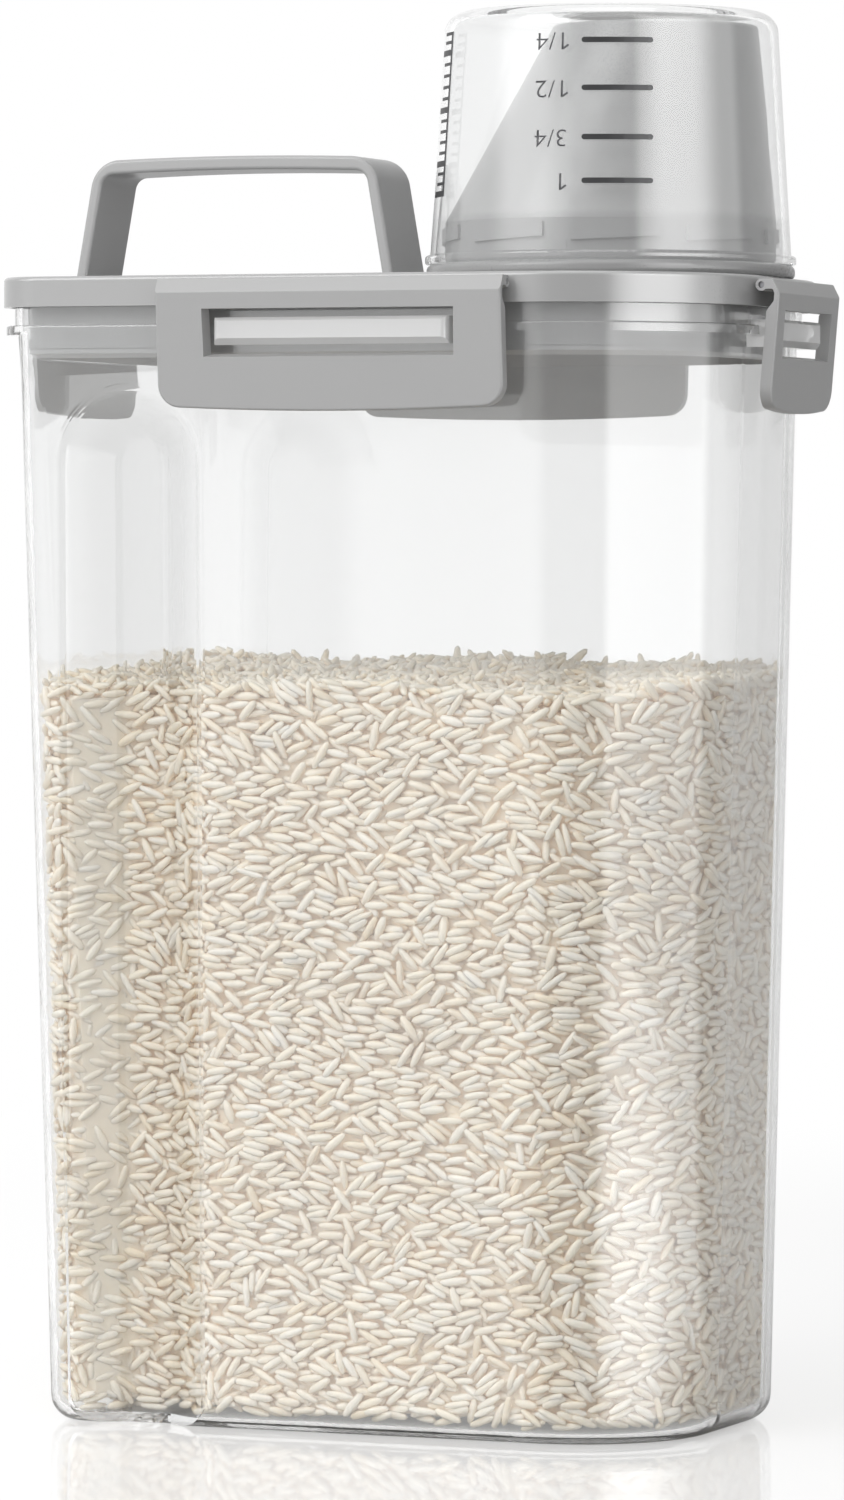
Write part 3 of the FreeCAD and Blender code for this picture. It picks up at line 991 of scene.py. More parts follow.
@dataclass
class MeasuringCup:
    """The clear cup and what is printed on its wall: cup marks, their numbers and a ruler.

    Angles are counted from the front (-Y) towards the right (+X), round the cup's axis.

    Attributes:
        effects: The shared node groups.
        plastic: Finish of the cup.
        ink: Finish of the marks and the ruler.
        pale_ink: Finish of the numbers.
        axis_x: Place of the cup's axis.
        reach: Where the flat print stands before it is laid on the wall.
        ink_gap: Gap between wall and ink, so that no face lies in another.
        ink_thickness: Thickness of the ink.
        strip: Width of the strips in which the print bends round the wall.
        bar_length: Length of a cup mark.
        bar_height: Height of a cup mark.
        bar_angle: Where the cup marks stand.
        number_angle: Where the numbers begin.
        number_height: Height of a figure.
        type_size: Size of the type against a figure's height.
        type_width: How much wider than usual the type is.
        type_weight: How much thicker than usual its strokes are.
        serif: Length and thickness of a figure 1's upper stroke against the figure's height.
        serif_turn: Degrees that the stroke rises.
        serif_place: How far it stands left of and under the figure's corner, in its lengths.
        marks: Height of each cup mark and its number.
        ruler_angle: Where the ruler's line stands.
        ruler_ends: Lowest and highest point of the ruler's line.
        ruler_strips: Strips in which the ruler bends along its height.
        long_ticks: Heights of the long ticks.
        ticks_between: Number of steps between one long tick and the next.
        tick_lengths: Length of a short and of a long tick.
        tick_heights: Thickness of a short and of a long tick.
        line_width: Width of the ruler's line.
    """

    effects: Effects
    plastic: ClearPlastic = ClearPlastic(
        "clear_cup_wall", (0.972, 0.975, 0.975), refraction=1.03, contour=0.9,
        foot_z=264.5 * MM, foot_tone=0.89,
    )
    ink: PrintInk = PrintInk("print_ink", (0.02, 0.02, 0.022))
    pale_ink: PrintInk = PrintInk("number_ink", (0.07, 0.07, 0.075))
    axis_x: float = 42.4 * MM
    reach: float = 60 * MM
    ink_gap: float = 0.06 * MM
    ink_thickness: float = 0.06 * MM
    strip: float = 1.0 * MM
    bar_length: float = 15.4 * MM
    bar_height: float = 1.2 * MM
    bar_angle: float = 22.5
    number_angle: float = 6.4
    number_height: float = 4.1 * MM
    type_size: float = 1.32
    type_width: float = 1.12
    type_weight: float = -0.06 * MM
    serif: tuple[float, float] = (0.34, 0.1)
    serif_turn: float = 38.0
    serif_place: tuple[float, float] = (0.3, 0.42)
    marks: tuple[tuple[float, str], ...] = (
        (302.3 * MM, "1/4"), (292.0 * MM, "1/2"), (281.4 * MM, "3/4"), (272.0 * MM, "1"),
    )
    ruler_angle: float = -49.6
    ruler_ends: tuple[float, float] = (270.3 * MM, 305.6 * MM)
    ruler_strips: int = 24
    long_ticks: tuple[float, ...] = (270.3 * MM, 276.9 * MM, 288.6 * MM, 301.1 * MM)
    ticks_between: tuple[int, ...] = (3, 5, 5)
    tick_lengths: tuple[float, float] = (5.8 * MM, 7.8 * MM)
    tick_heights: tuple[float, float] = (0.7 * MM, 1.3 * MM)
    line_width: float = 1.0 * MM

    def finish(self, nodes: dict[str, bpy.types.Object]) -> None:
        """Dresses the cup and prints on it.

        Args:
            nodes: The CAD nodes by name.
        """
        cup = nodes["measuring_cup"]
        dress(cup, self.plastic.material(self.effects))
        ink, pale = self.ink.material(self.effects), self.pale_ink.material(self.effects)
        for piece, angle, colour in (
            (self._bars(), self.bar_angle, ink),
            (self._numbers(), self.number_angle, pale),
            (self._ruler(), self.ruler_angle, ink),
        ):
            self._lay(piece, angle, cup)
            dress(piece, colour)
            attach(piece, "measuring_cup")
            LOG.info("%s made", piece.name)

    def _lay(self, flat: bpy.types.Object, angle: float, cup: bpy.types.Object) -> None:
        """Stands a flat print before the cup, lays it on the wall and thickens it to ink.

        Args:
            flat: The print, flat in X, which will run right, and Y, which will run up.
            angle: Where round the cup it goes.
            cup: The cup.
        """
        for face in flat.data.polygons:
            if face.normal.z < 0:
                face.flip()
        flat.matrix_world = (
            Matrix.Translation((self.axis_x, 0, 0))
            @ Matrix.Rotation(math.radians(angle), 4, "Z")
            @ Matrix.Translation((0, -self.reach, 0))
            @ Matrix.Rotation(math.radians(90), 4, "X")
        )
        apply_modifier(
            flat, "SHRINKWRAP", target=cup, wrap_method="PROJECT", offset=self.ink_gap,
            use_project_z=True, use_negative_direction=True, use_positive_direction=False,
        )
        apply_modifier(flat, "SOLIDIFY", thickness=self.ink_thickness, offset=1.0)
        settle(flat)

    def _patch(self, name: str, x: float, y: float, width: float, height: float) -> bpy.types.Object:
        """A flat rectangle, cut into strips that can bend round the wall.

        Args:
            name: The piece's name.
            x: Middle of its width.
            y: Middle of its height.
            width: Its width.
            height: Its height.

        Returns:
            The rectangle.
        """
        clear_selection()
        bpy.ops.mesh.primitive_plane_add(size=1.0, location=(x, y, 0))
        patch = adopt(name)
        patch.scale = (width, height, 1)
        settle(patch)
        slice_across(patch, 0, x - width / 2, width, max(1, round(width / self.strip)))
        return patch

    def _bars(self) -> bpy.types.Object:
        """The four cup marks: each a disc whose halves are pulled apart.

        Returns:
            The marks as one piece, still flat.
        """
        bars = []
        half = self.bar_length / 2 - self.bar_height / 2
        for height, _ in self.marks:
            clear_selection()
            bpy.ops.mesh.primitive_circle_add(
                vertices=24, radius=self.bar_height / 2, fill_type="NGON", location=(0, height, 0)
            )
            bar = adopt("cup_bar")
            settle(bar)
            for point in bar.data.vertices:
                point.co.x += half if point.co.x > 0 else -half
            bars.append(bar)
        piece = join(bars, "cup_bars")
        strips = round(self.bar_length / self.strip)
        slice_across(piece, 0, -self.bar_length / 2, self.bar_length, strips)
        return piece

    def _numbers(self) -> bpy.types.Object:
        """The number beside each mark, upside down because the cup stands on its mouth.

        Returns:
            The numbers as one piece, still flat.
        """
        made = []
        for height, words in self.marks:
            clear_selection()
            bpy.ops.object.text_add(location=(0, 0, 0))
            text = bpy.context.object.data
            text.body = words
            text.size = self.number_height * self.type_size
            text.offset = self.type_weight
            text.align_x, text.align_y = "LEFT", "CENTER"
            text.resolution_u = 4
            bpy.ops.object.convert(target="MESH")
            number = adopt("cup_number")
            if words.startswith("1"):
                number = join([number, self._serif(number)], "cup_number")
            number.rotation_euler = (0, 0, math.pi)
            number.location = (0, height, 0)
            number.scale = (self.type_width, 1, 1)
            settle(number)
            made.append(number)
        piece = join(made, "cup_numbers")
        with editing(piece, everything=True):
            bpy.ops.mesh.remove_doubles(threshold=0.002 * MM)
            bpy.ops.mesh.quads_convert_to_tris()
        return piece

    def _serif(self, number: bpy.types.Object) -> bpy.types.Object:
        """The short slanted stroke at the top of a figure 1, which begins the number.

        Args:
            number: The number's mesh, flat and upright.

        Returns:
            The stroke.
        """
        left = min(point.co.x for point in number.data.vertices)
        top = max(point.co.y for point in number.data.vertices)
        length, thick = (share * self.number_height for share in self.serif)
        aside, under = (share * length for share in self.serif_place)
        stroke = self._patch("serif", 0, 0, length, thick)
        stroke.rotation_euler = (0, 0, math.radians(self.serif_turn))
        stroke.location = (left - aside, top - under, 0)
        settle(stroke)
        return stroke

    def _ruler(self) -> bpy.types.Object:
        """The ruler: an upright line with short and long ticks on its left.

        Returns:
            The ruler as one piece, still flat.
        """
        low, high = self.ruler_ends
        parts = [self._patch("cup_ruler", 0, (low + high) / 2, self.line_width, high - low)]
        for height, is_long in self._ticks():
            length = self.tick_lengths[is_long]
            middle = self.line_width / 2 - length / 2
            parts.append(self._patch("tick", middle, height, length, self.tick_heights[is_long]))
        piece = join(parts, "cup_ruler")
        slice_across(piece, 1, low, high - low, self.ruler_strips)
        return piece

    def _ticks(self) -> list[tuple[float, bool]]:
        """Heights of the ruler's ticks.

        Returns:
            Each tick's height and whether it is a long one.
        """
        ticks = [(height, True) for height in self.long_ticks]
        for low, high, steps in zip(self.long_ticks, self.long_ticks[1:], self.ticks_between):
            ticks += [(low + (high - low) * step / steps, False) for step in range(1, steps)]
        last = self.long_ticks[-1]
        top = self.ruler_ends[1]
        return ticks + [((last + top) / 2, False), (top - self.tick_heights[0] / 2, False)]


@dataclass(frozen=True)
class Grains:
    """Places of many rice grains.

    Attributes:
        centres: Middle of each.
        turns: Own axes of each as columns: length, width, thickness.
        sizes: Length, width and thickness of each against the usual grain.
        tones: Colour of each from 0 to 1.
        zones: Number of the zone of each.
    """

    centres: np.ndarray
    turns: np.ndarray
    sizes: np.ndarray
    tones: np.ndarray
    zones: np.ndarray

    def only(self, which: np.ndarray | list[int]) -> "Grains":
        """Picks out the grains with some numbers."""
        return Grains(*(getattr(self, field.name)[which] for field in fields(self)))

    @staticmethod
    def together(heaps: list["Grains"]) -> "Grains":
        """Makes one heap of several."""
        return Grains(
            *(np.concatenate([getattr(heap, f.name) for heap in heaps]) for f in fields(Grains))
        )


class Room:
    """A fine grid over the tub that books the space round each laid grain's core."""

    def __init__(self, low: np.ndarray, high: np.ndarray, cell: float, reach: float) -> None:
        """Makes an empty grid.

        Args:
            low: Lowest corner of the rice.
            high: Highest corner of the rice.
            cell: Size of a cell.
            reach: Space that is booked round each point of a core.
        """
        self.cell = cell
        self.low = low - 2 * reach
        shape = np.ceil((high - low + 4 * reach) / cell).astype(int) + 1
        self.strides = np.array((shape[1] * shape[2], shape[2], 1))
        self.taken = np.zeros(shape.prod(), bool)
        steps = np.arange(-math.ceil(reach / cell), math.ceil(reach / cell) + 1)
        ball = np.stack(np.meshgrid(steps, steps, steps), axis=-1).reshape(-1, 3)
        self.ball = ball[np.linalg.norm(ball * cell, axis=1) < reach] @ self.strides

    def cells(self, points: np.ndarray) -> np.ndarray:
        """Returns the number of the cell of each point."""
        return ((points - self.low) / self.cell).astype(int) @ self.strides

    def is_free(self, cells: np.ndarray) -> bool:
        """Returns whether none of some cells is taken."""
        return not self.taken[cells].any()

    def take(self, cells: np.ndarray) -> None:
        """Books the space round some cells."""
        self.taken[(cells[:, None] + self.ball).ravel()] = True


@dataclass
class Rice:
    """The rice in the tub: a bed that fills it, and grains packed against its wall and on top.

    Attributes:
        skin: Finish of the grains against the wall.
        top_shade_skin: Finish of the grains on top, which lie in the lid's shade: a shaded copy of
            the rice's colours, painted warmer to offset that shade's cool light.
        bed_skin: Finish of the bed between them.
        level: Height of the rice at the middle.
        slope: Rise of the rice for each metre towards the back.
        waves: Height in millimetres, rate along X and Y, and start of each wave of the top.
        floor: Height of the tub's inner floor.
        wall_gap: Gap to the tub's wall.
        bed_gap: Gap from the bed between the grains to the tub's wall.
        columns: Points round the bed.
        foot_rises: Heights of the bed's lowest points, which follow the tub's rounded foot.
        foot_end: How far above these the even steps begin.
        steps: Even steps up to the top.
        still: Height under which the uneven top has no effect.
        top_rings: Rings that close the top.
        middle_x: Place of the middle that the bed's points are spread from.
        start_radii: Half length and half width of the tube before it is pushed to the wall.
        ray_ends: The row of places along the tub from which the wall is looked for.
        ray_reach: How far the wall is looked for.
        most: Most grains in one piece.
        grain: Length, width and thickness of a grain.
        pinch: How much the grain's shoulders bulge, which pinches its tips.
        shoulders: Where they begin and end against half its length.
        layers: Depth under the skin of each layer of grains.
        tries: Grains tried for each grain's worth of area, in each layer.
        spacing: Least distance between the cores of two grains.
        core: Half length of a grain's core against the grain's length.
        core_points: Points of a core that are tested.
        cell: Size of the cells in which booked space is counted.
        loose: Share of the grains that lie at any angle.
        leaning: Spread of the other grains' angles.
        tilts: Spread of the tips' tilt against the wall, and on top.
        rolling: Spread of the turn about a grain's own length.
        size_range: Smallest and largest size of a grain against the usual one.
        unevenness: How far grains stand back from the wall, and stand out of the top.
        flat_slope: Upward part of the normal from which the form counts as the top.
        end_slope: Sideways part of the normal from which it counts as an end.
        under_slope: Upward part of the normal down to which grains lie against the form.
        seed: Start of the random draws.
    """

    skin: GrainSkin = GrainSkin(
        "rice_skin",
        ((0.89, 0.765, 0.59), (0.935, 0.825, 0.675), (0.95, 0.855, 0.72), (0.96, 0.88, 0.77)),
        (0.0, 0.12, 0.75, 1.0),
    )
    # Painted shade: a warmer copy of the rice's colours for the grains on top, to offset the cool
    # light in the lid's shade.
    top_shade_skin: GrainSkin = GrainSkin(
        "rice_top_skin",
        ((0.90, 0.76, 0.57), (0.945, 0.83, 0.67), (0.955, 0.86, 0.72)),
        (0.0, 0.3, 1.0),
    )
    bed_skin: GrainSkin = GrainSkin(
        "rice_bed_skin", ((0.90, 0.81, 0.67), (0.92, 0.83, 0.70)), (0.0, 1.0)
    )
    level: float = 165.2 * MM
    slope: float = 0.057
    waves: tuple[tuple[float, float, float, float], ...] = (
        (0.9, 71, 0, 1.3), (0.7, 41, 93, 0.4), (0.5, 213, -160, 0),
    )
    floor: float = 2.0 * MM
    wall_gap: float = 0.3 * MM
    bed_gap: float = 3.1 * MM
    columns: int = 168
    foot_rises: tuple[float, ...] = (0.0, 0.7 * MM, 1.6 * MM, 2.8 * MM, 4.4 * MM)
    foot_end: float = 3 * MM
    steps: int = 22
    still: float = 20 * MM
    top_rings: int = 9
    middle_x: float = -4.0 * MM
    start_radii: tuple[float, float] = (52 * MM, 26 * MM)
    ray_ends: tuple[float, float] = (-70 * MM, 26 * MM)
    ray_reach: float = 200 * MM
    most: int = 4000
    grain: Triple = (6.5 * MM, 1.95 * MM, 1.6 * MM)
    pinch: float = 1.12
    shoulders: tuple[float, float] = (0.5, 0.95)
    layers: tuple[float, ...] = (0.0, 0.25 * MM, 0.55 * MM, 0.95 * MM, 1.4 * MM, 2.0 * MM)
    tries: float = 10.0
    spacing: float = 1.05 * MM
    core: float = 0.36
    core_points: int = 5
    cell: float = 0.4 * MM
    loose: float = 0.12
    leaning: float = 0.5
    tilts: tuple[float, float] = (0.13, 0.3)
    rolling: float = 0.35
    size_range: tuple[Triple, Triple] = ((0.86, 0.88, 0.9), (1.12, 1.12, 1.1))
    unevenness: tuple[float, float] = (0.25 * MM, 0.9 * MM)
    flat_slope: float = 0.6
    end_slope: float = 0.6
    under_slope: float = -0.75
    seed: int = 6155

    def surface(self, x: float, y: float) -> float:
        """Height of the rice's top, which slopes and has low waves.

        Args:
            x: Place along the tub.
            y: Place across the tub.

        Returns:
            The height.
        """
        ripple = sum(
            high * math.sin(x * along + y * across + start)
            for high, along, across, start in self.waves
        )
        return self.level + self.slope * y + ripple * MM

    def build(self, tub: bpy.types.Object) -> None:
        """Makes the bed and the grains, which all move with the tub.

        Args:
            tub: The CAD tub that holds the rice.
        """
        skin, top_shade_skin = self.skin.material(), self.top_shade_skin.material()
        form = self._form(tub, self.wall_gap)
        grains = self._pack(form, BVHTree.FromObject(tub, bpy.context.evaluated_depsgraph_get()))
        bpy.data.objects.remove(form)
        for zone in Zone:
            mine = np.flatnonzero(grains.zones == zone.value)
            for part, start in enumerate(range(0, len(mine), self.most), 1):
                name = f"rice_{zone.name.lower()}_{part}"
                piece = self._heap(name, grains.only(mine[start:start + self.most]))
                dress(piece, top_shade_skin if zone is Zone.TOP else skin)
                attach(piece, "tub")
                LOG.info("%s made, %d faces", name, len(piece.data.polygons))
        bed = self._form(tub, self.bed_gap)
        dress(bed, self.bed_skin.material())
        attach(bed, "tub")
        LOG.info("%s made", bed.name)

    def _form(self, tub: bpy.types.Object, gap: float) -> bpy.types.Object:
        """The rice's outer form: a tube pushed out to the tub's wall, closed at both ends.

        Args:
            tub: The CAD tub.
            gap: What stays free between the form and the tub, and under the rice's top.

        Returns:
            The closed form.
        """
        top = self.level - gap
        heights = [self.floor + gap + rise for rise in self.foot_rises]
        start = heights[-1] + self.foot_end
        heights += [start + (top - start) * step / self.steps for step in range(self.steps + 1)]
        clear_selection()
        bpy.ops.mesh.primitive_circle_add(vertices=self.columns, radius=1.0)
        form = adopt("rice_bed")
        form.scale = (*self.start_radii, 1)
        form.location = (self.middle_x, 0, heights[0])
        settle(form)
        with editing(form, everything=True):
            for low, high in zip(heights, heights[1:]):
                bpy.ops.mesh.extrude_region_move(
                    TRANSFORM_OT_translate={"value": (0, 0, high - low)}
                )
        face_outwards(form)
        put_in_order(form)
        apply_modifier(
            form, "SHRINKWRAP", target=tub, wrap_method="PROJECT", offset=gap,
            use_positive_direction=True, use_negative_direction=True,
        )
        rim = len(form.data.vertices) - self.columns
        self._close(form, range(self.columns), 1)
        self._close(form, range(rim, rim + self.columns), self.top_rings)
        for point in form.data.vertices:
            x, y, z = point.co
            if z > self.still:
                share = (z - self.still) / (top - self.still)
                point.co.z = z + share * (self.surface(x, y) - self.level)
        face_outwards(form)
        put_in_order(form)
        return form

    def _close(self, form: bpy.types.Object, rim: range, rings: int) -> None:
        """Closes one end of the form with rings that shrink to its middle.

        Args:
            form: The form.
            rim: The points of that end.
            rings: How many rings close it.
        """
        with editing(form):
            bpy.ops.object.mode_set(mode="OBJECT")
            for index in rim:
                form.data.vertices[index].select = True
            bpy.ops.object.mode_set(mode="EDIT")
            for left in range(rings - 1, -1, -1):
                share = left / (left + 1)
                bpy.ops.mesh.extrude_region_move()
                bpy.ops.transform.resize(
                    value=(share, share, 1), center_override=(self.middle_x, 0, 0)
                )
            bpy.ops.mesh.merge(type="CENTER")

    def _pack(self, form: bpy.types.Object, wall: BVHTree) -> Grains:
        """Packs grains against the wall and on the top, layer behind layer.

        Args:
            form: The rice's outer form.
            wall: The tub's faces.

        Returns:
            The grains.
        """
        corners, normals, areas = self._faces(form)
        rng = np.random.default_rng(self.seed)
        tried = int(areas.sum() / (self.grain[0] * self.grain[1]) * self.tries)
        outline = corners.reshape(-1, 3)
        room = Room(outline.min(axis=0), outline.max(axis=0), self.cell, self.spacing)
        heaps = []
        for depth in self.layers:
            chosen = rng.choice(len(areas), size=tried, p=areas / areas.sum())
            mix = rng.dirichlet((1, 1, 1), size=tried)
            spots = np.einsum("nk,nkd->nd", mix, corners[chosen])
            heap = self._place(spots, normals[chosen], depth, rng)
            heaps.append(heap.only(self._fitting(heap, room, wall)))
        grains = Grains.together(heaps)
        LOG.info("%d grains packed", len(grains.tones))
        return grains

    def _faces(self, form: bpy.types.Object) -> tuple[np.ndarray, np.ndarray, np.ndarray]:
        """The form's triangles that grains lie against, without its underside.

        Args:
            form: The form.

        Returns:
            Corners, outward normal and area of each triangle.
        """
        mesh = form.data
        mesh.calc_loop_triangles()
        points = np.array([v.co for v in mesh.vertices])
        corners = points[np.array([t.vertices for t in mesh.loop_triangles])]
        cross = np.cross(corners[:, 1] - corners[:, 0], corners[:, 2] - corners[:, 0])
        volume = np.einsum("nd,nd->", corners[:, 0], cross)
        cross *= math.copysign(1.0, volume)
        areas = np.linalg.norm(cross, axis=1) / 2
        normals = cross / np.maximum(areas[:, None] * 2, 1e-12)
        kept = (normals[:, 2] > self.under_slope) & (areas > 1e-12)
        return corners[kept], normals[kept], areas[kept]

    def _fitting(self, heap: Grains, room: Room, wall: BVHTree) -> list[int]:
        """Lays the grains of a heap one by one, where there is still room.

        Args:
            heap: The grains to try.
            room: The booked space.
            wall: The tub's faces.

        Returns:
            Numbers of the grains that found a place.
        """
        reach = self.core * self.grain[0] * heap.sizes[:, :1] * heap.turns[:, :, 0]
        steps = np.linspace(-1.0, 1.0, self.core_points)[None, :, None]
        cells = room.cells(heap.centres[:, None, :] + reach[:, None, :] * steps)
        laid = []
        for number in np.flatnonzero(~room.taken[cells].any(axis=1)):
            if room.is_free(cells[number]) and self._inside(heap, number, wall):
                room.take(cells[number])
                laid.append(number)
        return laid

    def _inside(self, heap: Grains, number: int, wall: BVHTree) -> bool:
        """Tests whether both tips of a grain stay inside the tub.

        Args:
            heap: The grains.
            number: The number of the grain.
            wall: The tub's faces.

        Returns:
            Whether they do.
        """
        half = heap.turns[number][:, 0] * (self.grain[0] / 2 * heap.sizes[number, 0])
        for tip in (Vector(heap.centres[number] - half), Vector(heap.centres[number] + half)):
            if tip.z < self.floor + self.grain[2] / 2:
                return False
            low, high = self.ray_ends
            start = Vector((min(max(tip.x, low), high), 0, tip.z))
            out = tip - start
            hit = wall.ray_cast(start, out.normalized(), self.ray_reach)
            if hit[0] is not None and hit[3] < out.length + self.wall_gap:
                return False
        return True

    def _place(
        self, spots: np.ndarray, normals: np.ndarray, depth: float, rng: np.random.Generator
    ) -> Grains:
        """Lays grains along the wall, or flat on the top.

        Args:
            spots: Points of the rice's outer form.
            normals: The form's direction at each.
            depth: How far behind the form the grains lie.
            rng: Source of the random draws.

        Returns:
            The grains.
        """
        count = len(spots)
        on_top = normals[:, 2] > self.flat_slope
        lean = np.where(on_top[:, None], (0.0, 1.0, 0.0), (0.0, 0.0, 1.0))
        across = unit(np.cross(lean, normals))
        up = np.cross(normals, across)
        free = on_top | (rng.random(count) < self.loose)
        leant = rng.random(count) * math.pi, rng.normal(0, self.leaning, count)
        angle = np.where(free, *leant)[:, None]
        by_wall, flat = self.tilts
        tilt = (rng.normal(0, 1, count) * np.where(on_top, flat, by_wall))[:, None]
        roll = rng.normal(0, self.rolling, count)[:, None]
        along = np.cos(angle) * across + np.sin(angle) * up
        axis = np.cos(tilt) * along - np.sin(tilt) * normals
        side = unit(np.cross(normals, axis))
        width = np.cos(roll) * side + np.sin(roll) * np.cross(axis, side)
        sizes = rng.uniform(*self.size_range, (count, 3))
        length, _, thickness = self.grain
        back, out = self.unevenness
        against = thickness / 2 + length / 2 * np.abs(np.sin(tilt[:, 0])) * sizes[:, 0]
        against += depth + back * rng.random(count)
        loose = thickness / 2 + depth - out * rng.random(count)
        inward = np.where(on_top, loose, against)[:, None]
        walls = np.where(normals[:, 1] < 0, Zone.FRONT.value, Zone.BACK.value)
        ends = np.where(normals[:, 0] < 0, Zone.LEFT.value, Zone.RIGHT.value)
        zones = np.where(np.abs(normals[:, 0]) > self.end_slope, ends, walls)
        return Grains(
            spots - normals * inward,
            np.stack((axis, width, np.cross(axis, width)), axis=-1),
            sizes,
            rng.random(count),
            np.where(on_top, Zone.TOP.value, zones),
        )

    def _one_grain(self) -> tuple[np.ndarray, list[list[int]]]:
        """Models one grain: a long low-sided ball with slightly pinched tips.

        Returns:
            Its points and its faces.
        """
        length, width, thickness = self.grain
        clear_selection()
        bpy.ops.mesh.primitive_uv_sphere_add(segments=6, ring_count=5, radius=0.5)
        grain = adopt("grain")
        grain.rotation_euler = (0, math.radians(90), 0)
        grain.scale = thickness, width, length
        settle(grain)
        face_outwards(grain)
        begin, end = self.shoulders
        for point in grain.data.vertices:
            if begin < abs(point.co.x) / (length / 2) < end:
                point.co.y *= self.pinch
                point.co.z *= self.pinch
        put_in_order(grain)
        points = np.array([v.co for v in grain.data.vertices])
        faces = [list(face.vertices) for face in grain.data.polygons]
        bpy.data.objects.remove(grain)
        return points, faces

    def _heap(self, name: str, grains: Grains) -> bpy.types.Object:
        """Copies the one grain to every place of a zone, as one mesh.

        Args:
            name: The piece's name.
            grains: The grains of the zone.

        Returns:
            The piece.
        """
        points, faces = self._one_grain()
        turns = grains.turns * grains.sizes[:, None, :]
        all_points = np.einsum("nij,pj->npi", turns, points) + grains.centres[:, None, :]
        all_faces = [
            [corner + start for corner in face]
            for start in range(0, len(turns) * len(points), len(points))
            for face in faces
        ]
        mesh = bpy.data.meshes.new(name)
        mesh.from_pydata(all_points.reshape(-1, 3).tolist(), [], all_faces)
        tone = mesh.attributes.new("tone", "FLOAT", "POINT")
        tone.data.foreach_set("value", np.repeat(grains.tones, len(points)))
        piece = add_object(name, mesh)
        pick(piece)
        bpy.ops.object.shade_smooth()
        return piece


# The studio


@dataclass
class PhotoCamera:
    """The camera at the photograph's own viewing angle.

    Attributes:
        azimuth: Degrees that it stands to the right of the front.
        elevation: Degrees above the horizon.
        distance: Distance to the target.
        roll: Degrees that the camera is turned anticlockwise.
        target: The point that it looks at.
        lens: Focal length in millimetres.
        sensor: Height of the sensor in millimetres.
        clip: Nearest and farthest that it sees.
    """

    azimuth: float = 21.92
    elevation: float = 1.51
    distance: float = 1663.6 * MM
    roll: float = 0.18
    target: Triple = (-1.96 * MM, 0.0, 148.07 * MM)
    lens: float = 179.45
    sensor: float = 36.0
    clip: tuple[float, float] = (0.05, 60.0)

    def build(self) -> None:
        """Makes the camera and gives it to the scene."""
        back = direction(self.azimuth, self.elevation)
        data = bpy.data.cameras.new("photo_camera")
        data.lens = self.lens
        data.sensor_fit = "VERTICAL"
        data.sensor_width = data.sensor_height = self.sensor
        data.clip_start, data.clip_end = self.clip
        camera = add_object("photo_camera", data)
        camera.matrix_world = (
            Matrix.Translation(Vector(self.target) + back * self.distance)
            @ back.to_track_quat("Z", "Y").to_matrix().to_4x4()
            @ Matrix.Rotation(math.radians(self.roll), 4, "Z")
        )
        bpy.context.scene.camera = camera
        LOG.info("camera placed")


@dataclass(frozen=True)
class Softbox:
    """A rectangular lamp that faces the container.

    Attributes:
        name: The lamp's name.
        azimuth: Degrees round from the front, towards the right.
        elevation: Degrees above the horizon.
        distance: Distance to the middle of the container.
        size: Its width and height.
        power: Its power in watts.
    """

    name: str
    azimuth: float
    elevation: float
    distance: float
    size: tuple[float, float]
    power: float

    def build(self, middle: Vector) -> None:
        """Makes the lamp.

        Args:
            middle: The point that it faces.
        """
        out = direction(self.azimuth, self.elevation)
        data = bpy.data.lights.new(self.name, "AREA")
        data.shape = "RECTANGLE"
        data.size, data.size_y = self.size
        data.energy = self.power
        lamp = add_object(self.name, data)
        lamp.location = middle + out * self.distance
        lamp.rotation_euler = out.to_track_quat("Z", "Y").to_euler()


@dataclass(frozen=True)
class Strip:
    """A bright upright panel in the ring, above the horizon.

    Attributes:
        azimuth: Degrees round from the front, towards the right.
        half_width: Degrees from its middle to its edge.
        strength: How much brighter than the ring its middle is.
        lowest: Height above the horizon, as the upward part of the direction.
        rise: Where it starts and is full, against that height.
        core: Share of its half width that has its full strength.
    """

    azimuth: float
    half_width: float
    strength: float
    lowest: float
    rise: tuple[float, float] = (-0.01, 0.03)
    core: float = 0.25


